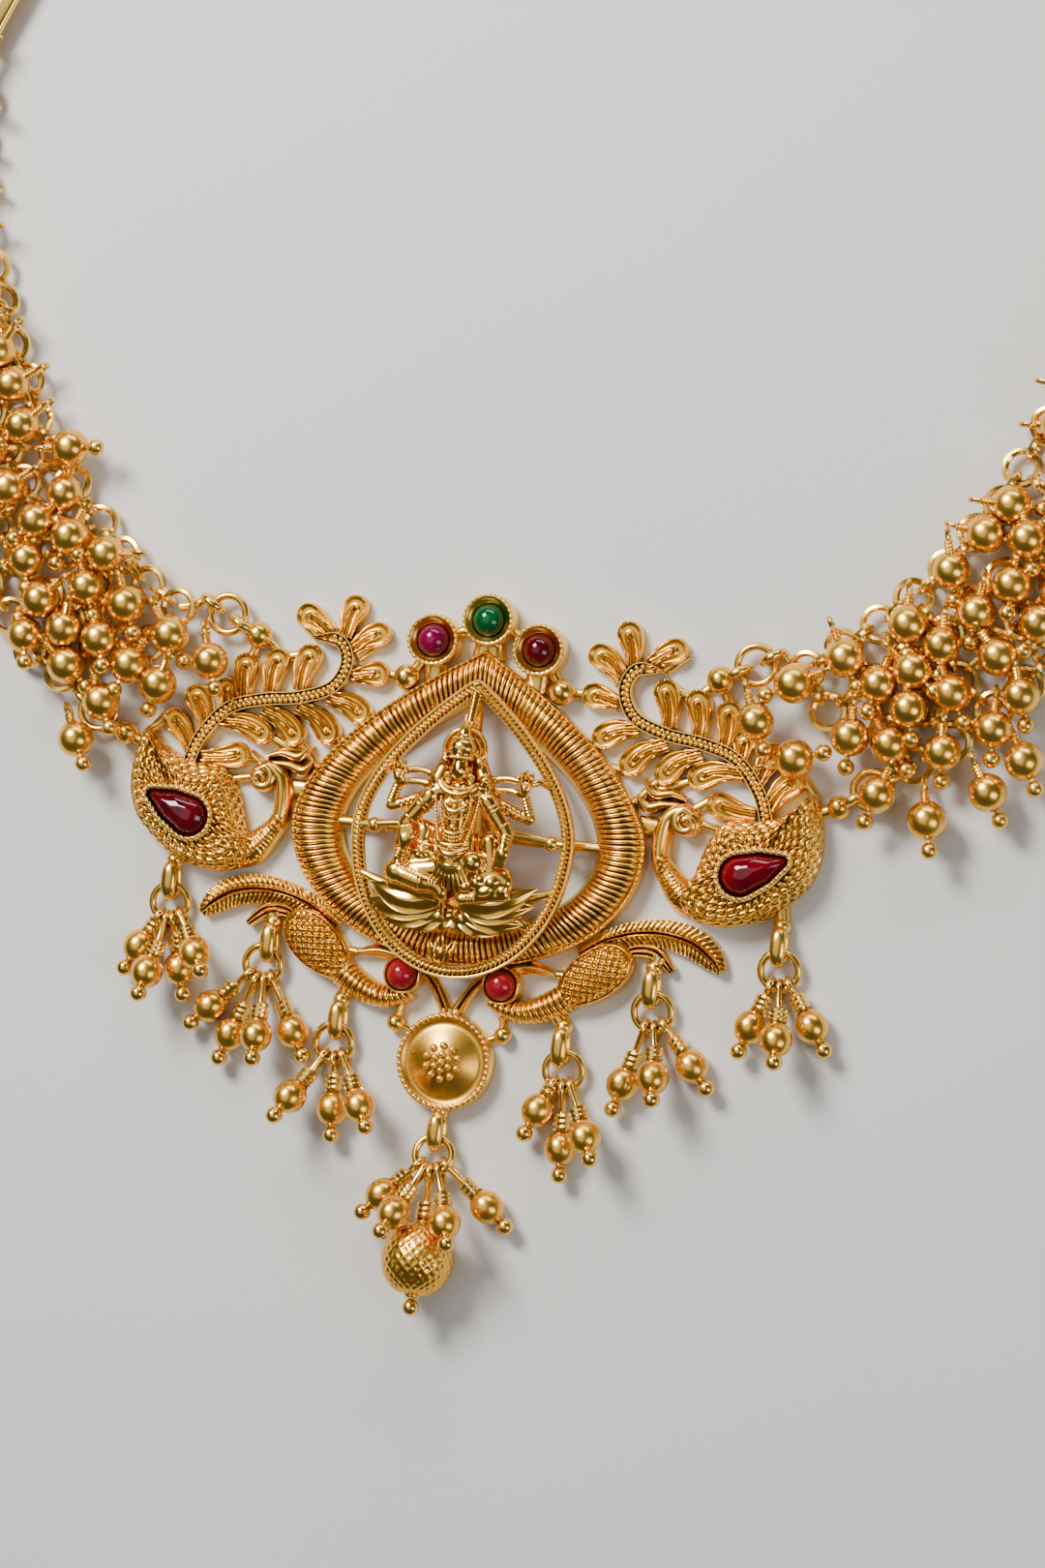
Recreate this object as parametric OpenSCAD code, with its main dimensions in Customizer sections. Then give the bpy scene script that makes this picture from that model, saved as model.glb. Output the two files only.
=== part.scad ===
// Temple jewellery choker, lying flat on its back: a cast pendant with a seated figure, two bands of
// link mesh hung with beads, seven bead drops and a plain chain that closes the loop.
// X runs to the wearer's left, Y from the pendant up to the clasp, Z off the surface that it lies on.

/* [Neck loop] */
// Inner radius of the loop that goes round the neck
neck_r = 58.5; // [56:0.5:66]
// Height on the pendant's centre line where the inner edge of the loop would cross it
loop_cross_y = 11.2; // [10:0.2:12.4]

/* [Ribbed ring] */
// Width of the pear-shaped ring across its widest point
ring_w = 38; // [36:0.2:40]
// Height of the ring's apex above the origin
ring_top = 18; // [17:0.2:19]
// Depth of the ring's foot below the origin
ring_foot = 14.8; // [14:0.2:15.6]
// Width of the ring's face at its sides
ring_face = 5.3; // [4.6:0.1:6]
// Height of the ring's crest above its flat back
ring_rise = 2.8; // [2.2:0.1:3.2]
// Number of raised ribs round the ring
rib_count = 40; // [32:4:60]
// Height of a rib above the grooves beside it
rib_rise = 0.3; // [0.15:0.05:0.5]

/* [Wings] */
// Reach of each wing beyond the side of the ring
wing_w = 18.1; // [17:0.1:19]
// Width of a plume's stem at its root
stem_w = 1.4; // [1.1:0.1:1.8]
// Height of a plume's stem
stem_rise = 1.7; // [1.2:0.1:2.2]
// Width of a plume's leaf near its tip
leaf_w = 2.4; // [2:0.1:2.8]
// Height of a plume's leaf
leaf_rise = 1.5; // [1:0.1:2]
// Height of a peacock's domed body
peacock_rise = 4.4; // [3.8:0.1:4.8]
// Width of a peacock's neck
neck_w = 2; // [1.7:0.05:2.3]
// Height of a peacock's neck and curled head
neck_rise = 2.4; // [1.8:0.1:2.8]
// Diameter of the ball at the upper outer corner of a wing
corner_ball_d = 2.9; // [2.4:0.1:3.3]
// Diameter of the ball at a peacock's tail tip
tail_ball_d = 2.5; // [2:0.1:3]
// Height of a mango bird's netted body
mango_rise = 3; // [2.2:0.1:3.6]
// Length of a mango bird's netted body
mango_l = 9.2; // [8:0.2:10]
// Width of a mango bird's netted body
mango_w = 5.3; // [4.6:0.1:6]
// Height of a mango bird's ribbed tail and feather
trim_rise = 1.6; // [1.2:0.1:2.2]

/* [Stones] */
// Diameter of the three round stones at the top
top_stone_d = 3.4; // [3:0.1:3.8]
// Diameter of the milgrain cups that hold them
top_cup_d = 5.5; // [5.1:0.1:6]
// Diameter of the two round stones below the ring
low_stone_d = 3.25; // [2.8:0.05:3.5]
// Diameter of the plain cups that hold them
low_cup_d = 4.1; // [3.9:0.1:4.6]
// Length of a pear-shaped stone
pear_l = 7.2; // [6.4:0.1:7.8]
// Width of a pear-shaped stone
pear_w = 4.1; // [3.6:0.1:4.4]
// Width of the border round a pear-shaped stone
pear_border = 0.6; // [0.4:0.05:0.8]
// Height of every stone above its seat
stone_h = 2.1; // [1.7:0.1:2.6]
// Height of the seats that the round stones lie on
seat_z = 1.6; // [1.3:0.1:1.8]

/* [Disc medallion] */
// Diameter of the disc medallion
disc_d = 10.2; // [9.4:0.1:11]
// Height of the disc's domed middle
disc_rise = 3.2; // [2.4:0.1:3.8]

/* [Figure medallion] */
// Half the width of the rope frame, to the middle of the rope
rope_half_w = 11.1; // [10.7:0.1:11.5]
// Height of the rope frame's apex above the origin
rope_top = 14.1; // [13.6:0.1:14.6]
// Depth of the rope frame's foot below the origin
rope_foot = 15.4; // [14.9:0.1:15.8]
// Thickness of the rope
rope_d = 1.1; // [0.9:0.05:1.4]
// Number of turns in the twisted rope
rope_turns = 34; // [24:2:40]
// Height of the face of the seated figure above the flat back
figure_z = 8.6; // [8:0.1:9.4]
// Half the width across the figure's lotus seat
lotus_half_w = 9.2; // [8.8:0.1:9.6]

/* [Drops] */
// Outer diameter of a jump ring
jump_d = 4.7; // [4.4:0.1:5.2]
// Thickness of a jump ring's wire
jump_wire = 0.8; // [0.7:0.05:0.9]
// Outer length of a bail
bail_l = 4.4; // [4.2:0.1:5]
// Width of a bail
bail_w = 1.5; // [1.2:0.1:1.8]
// Thickness of a bail's wall
bail_wall = 0.9; // [0.7:0.05:1]
// Diameter of a drop's beads
bead_d = 3.1; // [2.8:0.05:3.2]
// Diameter of the ball that ends a pin
tip_d = 1.8; // [1.5:0.05:2]
// Thickness of a pin's wire
pin_d = 0.45; // [0.35:0.01:0.5]
// Diameter of the patterned ball on the centre drop
centre_ball_d = 7.6; // [7:0.1:8]

/* [Link bands] */
// Width of the band's mesh from its inner to its outer edge
band_w = 18.6; // [17:0.2:20]
// Thickness of the band's mesh
mesh_t = 2.6; // [2.2:0.1:3]
// Angle from straight down to the band's far end
band_end = 98; // [90:1:104]
// Number of rows of beads on a band
bead_rows = 4; // [3:1:4]
// Diameter of a band's beads
mesh_bead_d = 4; // [3.6:0.1:4.3]
// Spacing of the beads along a row
mesh_pitch = 4.8; // [4.7:0.1:5.6]

/* [Back chain and clasp] */
// Outer diameter of a chain link
chain_d = 6.2; // [5.8:0.1:6.8]
// Thickness of a chain link's wire
chain_wire = 1.1; // [0.9:0.05:1.2]
// Outer diameter of the clasp's two eyes
clasp_eye_d = 6; // [5.6:0.1:6.6]

/* [Fit] */
// Gap between parts that touch or turn in each other
fit_gap = 0.12; // [0.1:0.01:0.15]

/* [Hidden] */

round_fn = 48;
gold = "goldenrod";
ruby = "crimson";

// The layout is a grid of squares over the right half of the pendant, mirrored for the left. It is
// 18.4 squares out to the ring's side and 17.6 more to the wing's end, 18 squares up to the ring's
// apex and 14.8 down to its foot.
ring_squares = 18.4;
wing_squares = 17.6;
up_squares = 18;
down_squares = 14.8;
function across(x) = x < ring_squares ? x * ring_w / 2 / ring_squares
    : ring_w / 2 + (x - ring_squares) * wing_w / wing_squares;
function along(y) = y > 0 ? y * ring_top / up_squares : y * ring_foot / down_squares;
function at(p) = [across(p[0]), along(p[1])];

// Outlines of the ring and the rope: half width, apex, foot and height of the widest point
widest_y = along(-1.5);
ring_outer = [ring_w / 2, ring_top, -ring_foot, widest_y];
ring_inner = [ring_w / 2 - ring_face, ring_top - ring_face, -ring_foot + 0.79 * ring_face, widest_y];
rope_line = [rope_half_w, rope_top, -rope_foot, widest_y];

// Plume stem, as grid squares across and up, from the root to the curled tip
STEM = [
    [30.2, 3.2], [29.2, 6.1], [26.6, 9.3], [23, 10.6], [19.2, 11.2],
    [15.8, 12.6], [14.5, 15.3], [15.5, 17.5], [18.1, 17.6],
];
// Leaves of a plume, as grid squares: across and up at the stem, across and up at the tip
LEAVES = [
    [29, 3.9, 23.9, 5], [27.3, 7.9, 21.8, 6.4], [22.9, 9.5, 18.8, 6.1], [19.3, 10.2, 15.2, 6.6],
    [16.2, 11.4, 11.8, 9.4], [13.9, 13.9, 10, 14.5], [14.1, 16.8, 10.3, 18.9], [15.1, 18, 13.7, 22.4],
    [16.6, 18.2, 20.4, 20.3], [19.3, 11.9, 18, 16.8], [22.4, 11.2, 21.4, 16.1],
    [25.1, 10.4, 25.1, 15.4], [26.9, 9.4, 27.4, 12.6], [28.7, 6.8, 31, 11.3], [30.1, 4.4, 33.4, 8.3],
];
// Small webs that tie leaf tips and balls together: across and up at each end
TIES = [
    [20.3, 19.6, 18, 17.6], [13.7, 21.4, 15.5, 17.5], [10.3, 14.5, 8.1, 14.4], [11, 18.4, 13.6, 16],
    [24.1, 17.3, 21.5, 15.2], [24.1, 17.3, 25.1, 14.6], [18, 16.2, 21.4, 15.2], [27.4, 12, 30.6, 10.6],
    [15.2, 7, 13.4, 7.2], [18.8, 6.5, 16.6, 3.9], [21.8, 6.6, 18.6, 5.2], [24, 4.8, 22, 3.4],
    [33.2, 8.2, 34.7, 6.4], [11.8, 9.6, 10.6, 9.2],
];
// Outline of a peacock's body, as grid squares, anticlockwise from the tail tip
PEACOCK = [
    [34.7, 6.7], [32.8, 4.8], [30.8, 3.7], [28, 3.1], [26.3, 2.9], [25.1, 1.6], [24.3, -0.2],
    [23.5, -2.9], [22.6, -4.2], [22.3, -5.7], [23.2, -6.9], [24.7, -7.6], [26.6, -7.8], [28.5, -7.5],
    [30.5, -6.9], [32.2, -5.7], [33.9, -4.2], [35.1, -2.7], [35.9, -0.4], [36, 2.1], [35.6, 4.6],
];
PEACOCK_MIDDLE = [29.6, -2];
// Neck of a peacock: across, up, and width in neck widths, from the breast to the curled head
NECK = [
    [25, -5.2, 2.3], [22.6, -5, 1.75], [21, -3.4, 1.25], [19.9, -1.6, 1], [19.8, 0.6, 1],
    [20.2, 2.6, 0.95], [21.5, 3.6, 0.85], [22.7, 3.1, 0.7],
];
PEACOCK_HEAD = [22.2, 2.4];
// Crest of a peacock, which reaches the ring: across, up, and width in neck widths
CREST = [[21.6, 4.1, 0.4], [19.6, 4, 0.6], [18, 3.6, 0.75], [16.9, 4.6, 0.35]];
// Web between a peacock's neck and the ring
NECK_WEB = [[20, 1.5], [17, 1.6]];
PEAR_MIDDLE = [30, -1.75];
pear_turn = 24;

// Mango bird: middle of its body, and its tail and feathers as across, up and width in mm
MANGO_MIDDLE = [14.4, -14.3];
mango_turn = 39.5;
MANGO_TAIL = [[12.3, -16.4, 3.1], [10, -18, 3], [7.5, -18.9, 2.5], [5.3, -18.7, 1.9], [4, -18.1, 1.3]];
FEATHER = [
    [12.6, -12.2, 1.4], [15.4, -10.4, 2], [18.4, -9.4, 2.4], [21.2, -9.2, 2.9], [24, -9.8, 3.1],
    [26, -11.1, 2.6], [27.2, -12.4, 1],
];
SMALL_LEAF = [[16.8, -11.8, 1], [18.6, -11.2, 1.4], [20.4, -11.4, 1.5], [22.2, -13, 0.8]];
FLAME_LEAF = [[5.6, -14.6, 1.4], [8, -14.2, 1.2], [10.4, -14.6, 0.5]];
V_LEAF = [[3.6, -15.4, 1], [1.9, -17.2, 1.1], [0.5, -19.8, 1.2]];

// Middles of the round settings and of the balls beside them
TOP_CUP = [0, 21.1];
SIDE_CUP = [5.5, 18.5];
LOW_CUP = [5.15, -16.35];
SIDE_BALL = [8.1, 14.4];
side_ball_d = 2.8;
FOOT_BALL = [5.6, -21.5];
foot_ball_d = 1.9;
DISC_MIDDLE = [0, -24.9];
CORNER_BALL = [24.1, 17.3];
TAIL_BALL = [37.3, 5.6];

// Drops. A bail's middle is in grid squares from the centre line, and ring_angle is how far its jump
// ring swings from straight down. far_z is the height of the ring's lower side. Each pin gives its
// angle, the distance from the ring to its bead and the bead's height, the last two in bead diameters.
LEFT_OUTER = [[-30.7, -9.3], 1, 1,
    [[-28, 1.2, 0.52], [-6, 1.75, 1.45], [14, 1.65, 0.52], [38, 1.45, 1.45]]];
LEFT_MIDDLE = [[-19.5, -14.7], -18, 1,
    [[-26, 1.7, 0.52], [-1, 2, 0.52], [24, 1.75, 1.4], [47, 1.9, 0.52]]];
LEFT_INNER = [[-11.5, -21.9], -9, 1, [[-18, 1.55, 1.4], [14, 1.6, 0.52], [42, 1.75, 1.4]]];
CENTRE = [[0, -32.2], 0, 2.3,
    [[-42, 1.5, 1.05], [-20, 1.45, 2.1], [24, 1.65, 2.05], [50, 1.9, 0.6]]];
RIGHT_INNER = [[11.8, -22], 15, 1, [[-38, 0.95, 0.52], [-10, 1.95, 0.52], [14, 1.7, 1.4]]];
RIGHT_MIDDLE = [[20.4, -14.9], 9, 1, [[-24, 1.95, 0.52], [3, 1.5, 1.45], [32, 1.6, 0.52]]];
RIGHT_OUTER = [[32.8, -9.2], 7, 1, [[-26, 1.45, 0.52], [1, 1.6, 1.45], [28, 1.5, 0.52]]];
DROPS = [LEFT_OUTER, LEFT_MIDDLE, LEFT_INNER, CENTRE, RIGHT_INNER, RIGHT_MIDDLE, RIGHT_OUTER];
// Lug from each bail up to the casting, in grid squares from the centre line
LUGS = [
    [-30.4, -6.2], [-19.8, -11.6], [-11.2, -18.6], [0, -29.4], [10.9, -18.8], [20.8, -11.6], [32.4, -4.8],
];

jump_r = (jump_d - jump_wire) / 2;
pin_eye_r = jump_wire / 2 + fit_gap + pin_d / 2;
bail_hole_h = jump_wire + 3 * fit_gap;
bail_h = bail_hole_h + 2 * bail_wall;
ring_near_z = bail_h / 2;
tip_gap = 0.3;
// The eyes of a drop's pins sit further round the ring than the pins themselves fan out
eye_spread = 1.25;

// Neck loop in polar form: radius from the loop's middle and angle from straight down
loop_y = loop_cross_y + neck_r;
function polar(r, a) = [r * sin(a), loop_y - r * cos(a)];
function radius_of(p) = norm([p[0], loop_y - p[1]]);
function angle_of(p) = atan2(p[0], loop_y - p[1]);
function arc_angle(l, r) = l / r * 180 / PI;

// Standing eyes that hold the links between a wing and its band
eye_wire = 1;
eye_d = jump_wire + 2 * eye_wire + 4 * fit_gap;
eye_z = eye_d / 2;
function eye_start(ball, d) =
    angle_of(at(ball)) + arc_angle(d / 2 + eye_d / 2 - eye_wire, radius_of(at(ball)));
upper_r = radius_of(at(CORNER_BALL));
upper_a = eye_start(CORNER_BALL, corner_ball_d);
lower_r = radius_of(at(TAIL_BALL));
lower_a = eye_start(TAIL_BALL, tail_ball_d);
function link_angle(r, a) = a + arc_angle(jump_r, r);
function band_eye_angle(r, a) = a + arc_angle(2 * jump_r, r);

mesh_bead_z = mesh_t + 0.22 * mesh_bead_d;
row_pitch = (band_w - mesh_bead_d / 2) / bead_rows;
// Seat of a pear-shaped stone, sunk into the top of a peacock's body
pear_seat_z = peacock_rise - 1.2;
chain_r = (chain_d - chain_wire) / 2;
chain_z = chain_r * sin(45) + chain_wire / 2;
chain_path_r = neck_r + chain_d / 2 + 0.4;
chain_pitch_max = 2 * chain_r - chain_wire - fit_gap;
band_eye_wall = 1.2;
band_eye_hole = 3.2;
band_tip_l = 9;
band_tip_a = band_end + arc_angle(band_tip_l, chain_path_r);
chain_from = band_tip_a + arc_angle(chain_r, chain_path_r);
clasp_half = 180 - arc_angle(chain_d + 0.5, chain_path_r);
chain_to = clasp_half - arc_angle(chain_r, chain_path_r);
chain_count = ceil((chain_to - chain_from) / arc_angle(chain_pitch_max, chain_path_r));
chain_step = (chain_to - chain_from) / chain_count;

// Point at t round a pear outline, where t runs anticlockwise from 0 at the foot to 4
function pear_side(s, t) = t <= 1
    ? [s[0] * sin(90 * t), s[3] - (s[3] - s[2]) * cos(90 * t)]
    : let (u = (t - 1) * (1.45 - 0.45 * (t - 1)))
        [s[0] * (1 - pow(u, 1.8)), s[3] + (s[1] - s[3]) * u];
function pear(s, t) = t <= 2 ? pear_side(s, t) : let (p = pear_side(s, 4 - t)) [-p[0], p[1]];

// Smooth curve through the rows of a table, with every column carried along
function blend(a, b, c, d, t) = 0.5 * (2 * b + (c - a) * t
    + (2 * a - 5 * b + 4 * c - d) * t * t + (3 * b - a - 3 * c + d) * t * t * t);
function curve(rows, n) = [
    for (i = [0 : n])
        let (s = i / n * (len(rows) - 1), k = min(floor(s), len(rows) - 2))
        blend(rows[max(k - 1, 0)], rows[k], rows[k + 1], rows[min(k + 2, len(rows) - 1)], s - k)
];
function direction(path, i) =
    let (d = path[min(i + 1, len(path) - 1)] - path[max(i - 1, 0)], v = [d[0], d[1]]) v / norm(v);

// Solid through a row of like outlines, each seen anticlockwise from the last one
module loft(rings, closed = false) {
    n = len(rings[0]);
    m = len(rings);
    last = closed ? m - 1 : m - 2;
    sides = [
        for (i = [0 : last], j = [0 : n - 1])
            [i * n + j, (i + 1) % m * n + j, (i + 1) % m * n + (j + 1) % n, i * n + (j + 1) % n]
    ];
    caps = closed ? [] : [[for (j = [0 : n - 1]) j], [for (j = [n - 1 : -1 : 0]) (m - 1) * n + j]];
    polyhedron([for (ring = rings) each ring], concat(sides, caps), convexity = 8);
}

// Low half-round strip along rows of x, y, width and height, flat on z = 0
module strip(rows) {
    arc = 3;
    loft([
        for (i = [0 : len(rows) - 1])
            let (d = direction(rows, i), r = rows[i])
            [for (k = [0 : arc])
                let (a = 180 * k / arc, side = r[2] / 2 * cos(a))
                [r[0] - d[1] * side, r[1] + d[0] * side, r[3] * sin(a) / sin(60)]]
    ]);
}

// Strip through a table on the grid, whose third column is a width in units of w
module relief(table, w, rise, n, rib = 0) {
    rows = curve([for (r = table) [at(r)[0], at(r)[1], r[2] * w]], n);
    strip([for (i = [0 : n]) [rows[i][0], rows[i][1], rows[i][2], rise - rib * (i % 2)]]);
}

// Low dome over an outline: [share of the outline, share of the height] at each level
module mound(outline, middle, rise, levels) {
    loft([
        for (level = levels)
            [for (p = outline) [each (middle + (p - middle) * level[0]), rise * level[1]]]
    ]);
}
DOME = [[1, 0], [1, 0.35], [0.8, 0.78], [0.42, 1]];

module ball(d) {
    translate([0, 0, d / 2])
        sphere(d = d, $fn = 8);
}

module at_grid(p) {
    translate([each at(p), 0])
        children();
}

module both_sides() {
    children();
    mirror([1, 0, 0])
        children();
}

// Web of metal between two points of the grid
module tie(from, to, w, h) {
    hull() {
        at_grid(from) cylinder(d = w, h = h, $fn = 4);
        at_grid(to) cylinder(d = w, h = h, $fn = 4);
    }
}

// Ring with a convex, ribbed face that slopes down to its inner edge
module ribbed_ring() {
    // Share of the way out across the face, share of the rise
    face = [[0, 0], [0, 0.3], [0.4, 0.82], [0.78, 1], [1, 0]];
    n = 2 * rib_count;
    loft([
        for (i = [0 : n - 1])
            let (t = 4 * i / n, outer = pear(ring_outer, t), inner = pear(ring_inner, t))
            [for (f = face)
                [each (inner + (outer - inner) * f[0]),
                    f[1] * ring_rise - (f[1] > 0.5 ? rib_rise * (i % 2) : 0)]]
    ], closed = true);
}

module leaf(from, to) {
    a = at(from);
    b = at(to);
    along_leaf = (b - a) / norm(b - a);
    tip = b - along_leaf * leaf_w * 0.5;
    hull() {
        translate([each a, 0]) cylinder(d1 = 0.45 * leaf_w, d2 = 0.25 * leaf_w, h = 0.7 * leaf_rise, $fn = 4);
        translate([each tip, 0]) cylinder(d = leaf_w, h = 0.45 * leaf_rise, $fn = 7);
        translate([each tip, 0]) cylinder(d = 0.5 * leaf_w, h = leaf_rise, $fn = 4);
    }
}

module plume() {
    relief([for (p = STEM) [p[0], p[1], 1]], stem_w, stem_rise, 15);
    for (l = LEAVES)
        leaf([l[0], l[1]], [l[2], l[3]]);
    for (t = TIES)
        tie([t[0], t[1]], [t[2], t[3]], 1.1, 0.8);
    at_grid(CORNER_BALL) ball(corner_ball_d);
    at_grid(TAIL_BALL) ball(tail_ball_d);
    tie(TAIL_BALL, [34.9, 4.6], 1.4, 1.4);
}

// Outline of the pear stone, grown by an even border: a round belly and a small round point
function pear_outline(border) =
    let (
        belly = pear_w / 2, point_r = 0.3,
        belly_x = -pear_l / 2 + belly, point_x = pear_l / 2 - point_r,
        corner = 90 - asin((belly - point_r) / (point_x - belly_x))
    )
    concat(
        [for (i = [0 : 14]) let (a = corner + (360 - 2 * corner) * i / 14)
            [belly_x + (belly + border) * cos(a), (belly + border) * sin(a)]],
        [for (i = [0 : 4]) let (a = -corner + 2 * corner * i / 4)
            [point_x + (point_r + border) * cos(a), (point_r + border) * sin(a)]]
    );

module in_pear_seat() {
    translate([each at(PEAR_MIDDLE), 0])
        rotate([0, 0, pear_turn])
        children();
}

module peacock() {
    outline = [for (p = PEACOCK) at(p)];
    difference() {
        union() {
            mound(outline, at(PEACOCK_MIDDLE), peacock_rise, DOME);
            in_pear_seat() linear_extrude(pear_seat_z + 1.5) polygon(pear_outline(pear_border));
        }
        in_pear_seat()
            translate([0, 0, pear_seat_z])
            linear_extrude(peacock_rise)
            polygon(pear_outline(fit_gap / 2));
    }
    relief(NECK, neck_w, neck_rise, 12);
    relief(CREST, neck_w, 0.75 * neck_rise, 5);
    at_grid(PEACOCK_HEAD) cylinder(d1 = 1.5 * neck_w, d2 = 0.8 * neck_w, h = neck_rise, $fn = 8);
    tie(NECK_WEB[0], NECK_WEB[1], 2.2, 0.9);
    tie([23.6, 2.4], [25.4, 2], 0.9, 1);
}

module mango_bird() {
    body = [
        for (i = [0 : 15])
            let (a = 22.5 * i) [mango_l / 2 * cos(a), mango_w / 2 * sin(a) * (1 + 0.12 * cos(a))]
    ];
    at_grid(MANGO_MIDDLE)
        rotate([0, 0, mango_turn])
        mound(body, [0, 0], mango_rise, DOME);
    relief(MANGO_TAIL, 1, mango_rise * 0.8, 14, 0.3);
    relief(FEATHER, 1, trim_rise, 14, 0.25);
    relief(SMALL_LEAF, 1, 0.9 * trim_rise, 5);
    relief(FLAME_LEAF, 1, 0.97 * trim_rise, 4);
    relief(V_LEAF, 1, 0.95 * trim_rise, 4);
    tie([10.4, -14.6], [12.4, -14.6], 1, 1.2);
    tie(FOOT_BALL, [5.2, -19], 0.9, 1.2);
    tie(FOOT_BALL, [3.6, -22.4], 0.8, 1);
    at_grid(FOOT_BALL) ball(foot_ball_d);
}

// Round cup with a rim, a sloping floor and a seat for a cabochon
module top_cup() {
    stone_hole = top_stone_d / 2 + fit_gap / 2;
    rim = top_cup_d / 2;
    rotate_extrude($fn = 12)
        polygon([
            [0, 0], [rim, 0], [rim, seat_z + 1.2], [rim - 0.4, seat_z + 1.4],
            [stone_hole + 0.15, seat_z + 0.4], [stone_hole + 0.1, seat_z], [0, seat_z],
        ]);
}

module low_cup() {
    stone_hole = (low_stone_d + fit_gap) / 2 / cos(15);
    rotate_extrude($fn = 12)
        polygon([
            [0, 0], [low_cup_d / 2, 0], [low_cup_d / 2, seat_z + 0.7], [stone_hole, seat_z + 0.9],
            [stone_hole, seat_z], [0, seat_z],
        ]);
}

module disc_medallion() {
    r = disc_d / 2;
    at_grid(DISC_MIDDLE) {
        rotate_extrude($fn = 20)
            polygon([
                [0, 0], [r, 0], [r, 1.75], [r - 0.5, 2.05], [r - 1.1, 1], [0.6 * r, 1.1],
                [0.38 * r, 0.66 * disc_rise], [0, 0.8 * disc_rise],
            ]);
        for (a = [0 : 45 : 315])
            rotate([0, 0, a]) translate([1.35, 0, 0.6 * disc_rise]) sphere(d = 1, $fn = 4);
        translate([0, 0, 0.82 * disc_rise]) sphere(d = 1.2, $fn = 6);
    }
}

// Standing loop that a jump ring passes through, its length along Y
module bail() {
    straight = (bail_l - bail_h) / 2;
    n = 10;
    loft([
        for (i = [0 : n - 1])
            let (a = 360 * (i + 0.5) / n, end = cos(a) > 0 ? straight : -straight)
            [for (k = [0 : 3])
                let (b = 90 * k, r = bail_h / 2 - bail_wall / 2 + bail_wall / 2 * cos(b))
                [-bail_w / 2 * sin(b), end + r * cos(a), bail_h / 2 + r * sin(a)]]
    ], closed = true);
}

module standing_eye() {
    translate([0, 0, eye_z])
        rotate([90, 0, 0])
        rotate_extrude($fn = 10)
        translate([(eye_d - eye_wire) / 2, 0])
        circle(d = eye_wire, $fn = 4);
}

function signed_at(p) = [sign(p[0]) * across(abs(p[0])), along(p[1])];

module bails_and_lugs() {
    for (i = [0 : len(DROPS) - 1]) {
        translate([each signed_at(DROPS[i][0]), 0]) bail();
        hull() {
            translate([each (signed_at(DROPS[i][0]) + [0, bail_l / 2 - 0.2]), 0])
                cylinder(d = bail_w, h = bail_h * 0.6, $fn = 6);
            translate([each signed_at(LUGS[i]), 0]) cylinder(d = bail_w + 0.4, h = 1.2, $fn = 6);
        }
    }
}

module pendant_frame() {
    color(gold)
    union() {
        difference() {
            ribbed_ring();
            both_sides() strut_cut();
        }
        both_sides() {
            plume();
            peacock();
            mango_bird();
            at_grid(SIDE_CUP) top_cup();
            tie([0.6, 17], TOP_CUP, 2.4, seat_z - 0.2);
            tie([5.2, 14.2], SIDE_CUP, 2.6, seat_z - 0.2);
            tie(SIDE_CUP, TOP_CUP, 1.3, seat_z - 0.3);
            tie(SIDE_CUP, SIDE_BALL, 1.2, seat_z - 0.2);
            at_grid(SIDE_BALL) ball(side_ball_d);
            at_grid(LOW_CUP) low_cup();
            tie(LOW_CUP, [4.1, -13.1], 1.5, seat_z - 0.3);
            for (eye = [[upper_r, upper_a], [lower_r, lower_a]])
                translate([each polar(eye[0], eye[1]), 0]) rotate([0, 0, eye[1]]) standing_eye();
        }
        at_grid(TOP_CUP) top_cup();
        disc_medallion();
        tie([0, -19.4], [0, -20.7], 1.7, 1.45);
        bails_and_lugs();
    }
}

// Figure medallion

strut_y = -1.2;
strut_h = 2.4;
strut_t = 1.2;
// Height of the bar whose ends sit in the ring
strut_bar_h = strut_t + 0.8;
knob_x = rope_half_w - 1.6;
rope_z = ring_rise + fit_gap + rope_d / 2 + 0.45;

// Groove in the ring's inner edge that takes the end of the strut
module strut_cut() {
    translate([ring_inner[0] - 1, strut_y - 0.6 - fit_gap, -1])
        cube([2, 1.2 + 2 * fit_gap, 1 + strut_bar_h + fit_gap]);
}

// Twisted rope on a thin flange, standing over the ring at top and foot
module rope_frame() {
    n = 2 * rope_turns;
    flange = rope_d / 2 + 0.3;
    // Section from the outside in: offset and height
    section = [
        [flange, -0.6 * rope_d], [flange, -0.25 * rope_d], [0.42 * rope_d, 0.2 * rope_d],
        [0, 0.5 * rope_d], [-0.42 * rope_d, 0.2 * rope_d], [-flange, -0.25 * rope_d],
        [-flange, -0.6 * rope_d],
    ];
    loft([
        for (i = [n - 1 : -1 : 0])
            let (t = 4 * i / n, p = pear(rope_line, t), q = pear(rope_line, (t + 0.02) % 4),
                d = (q - p) / norm(q - p))
            [for (s = section)
                let (sunk = s[1] > 0 ? 0.12 * rope_d * (i % 2) : 0)
                [p[0] + d[1] * s[0], p[1] - d[0] * s[0], rope_z + s[1] - sunk]]
    ], closed = true);
}

// Rounded limb between two points, each with its own radius
module limb(p, pr, q, qr, sides = 5) {
    hull() {
        translate(p) sphere(r = pr, $fn = sides);
        translate(q) sphere(r = qr, $fn = sides);
    }
}

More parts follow.
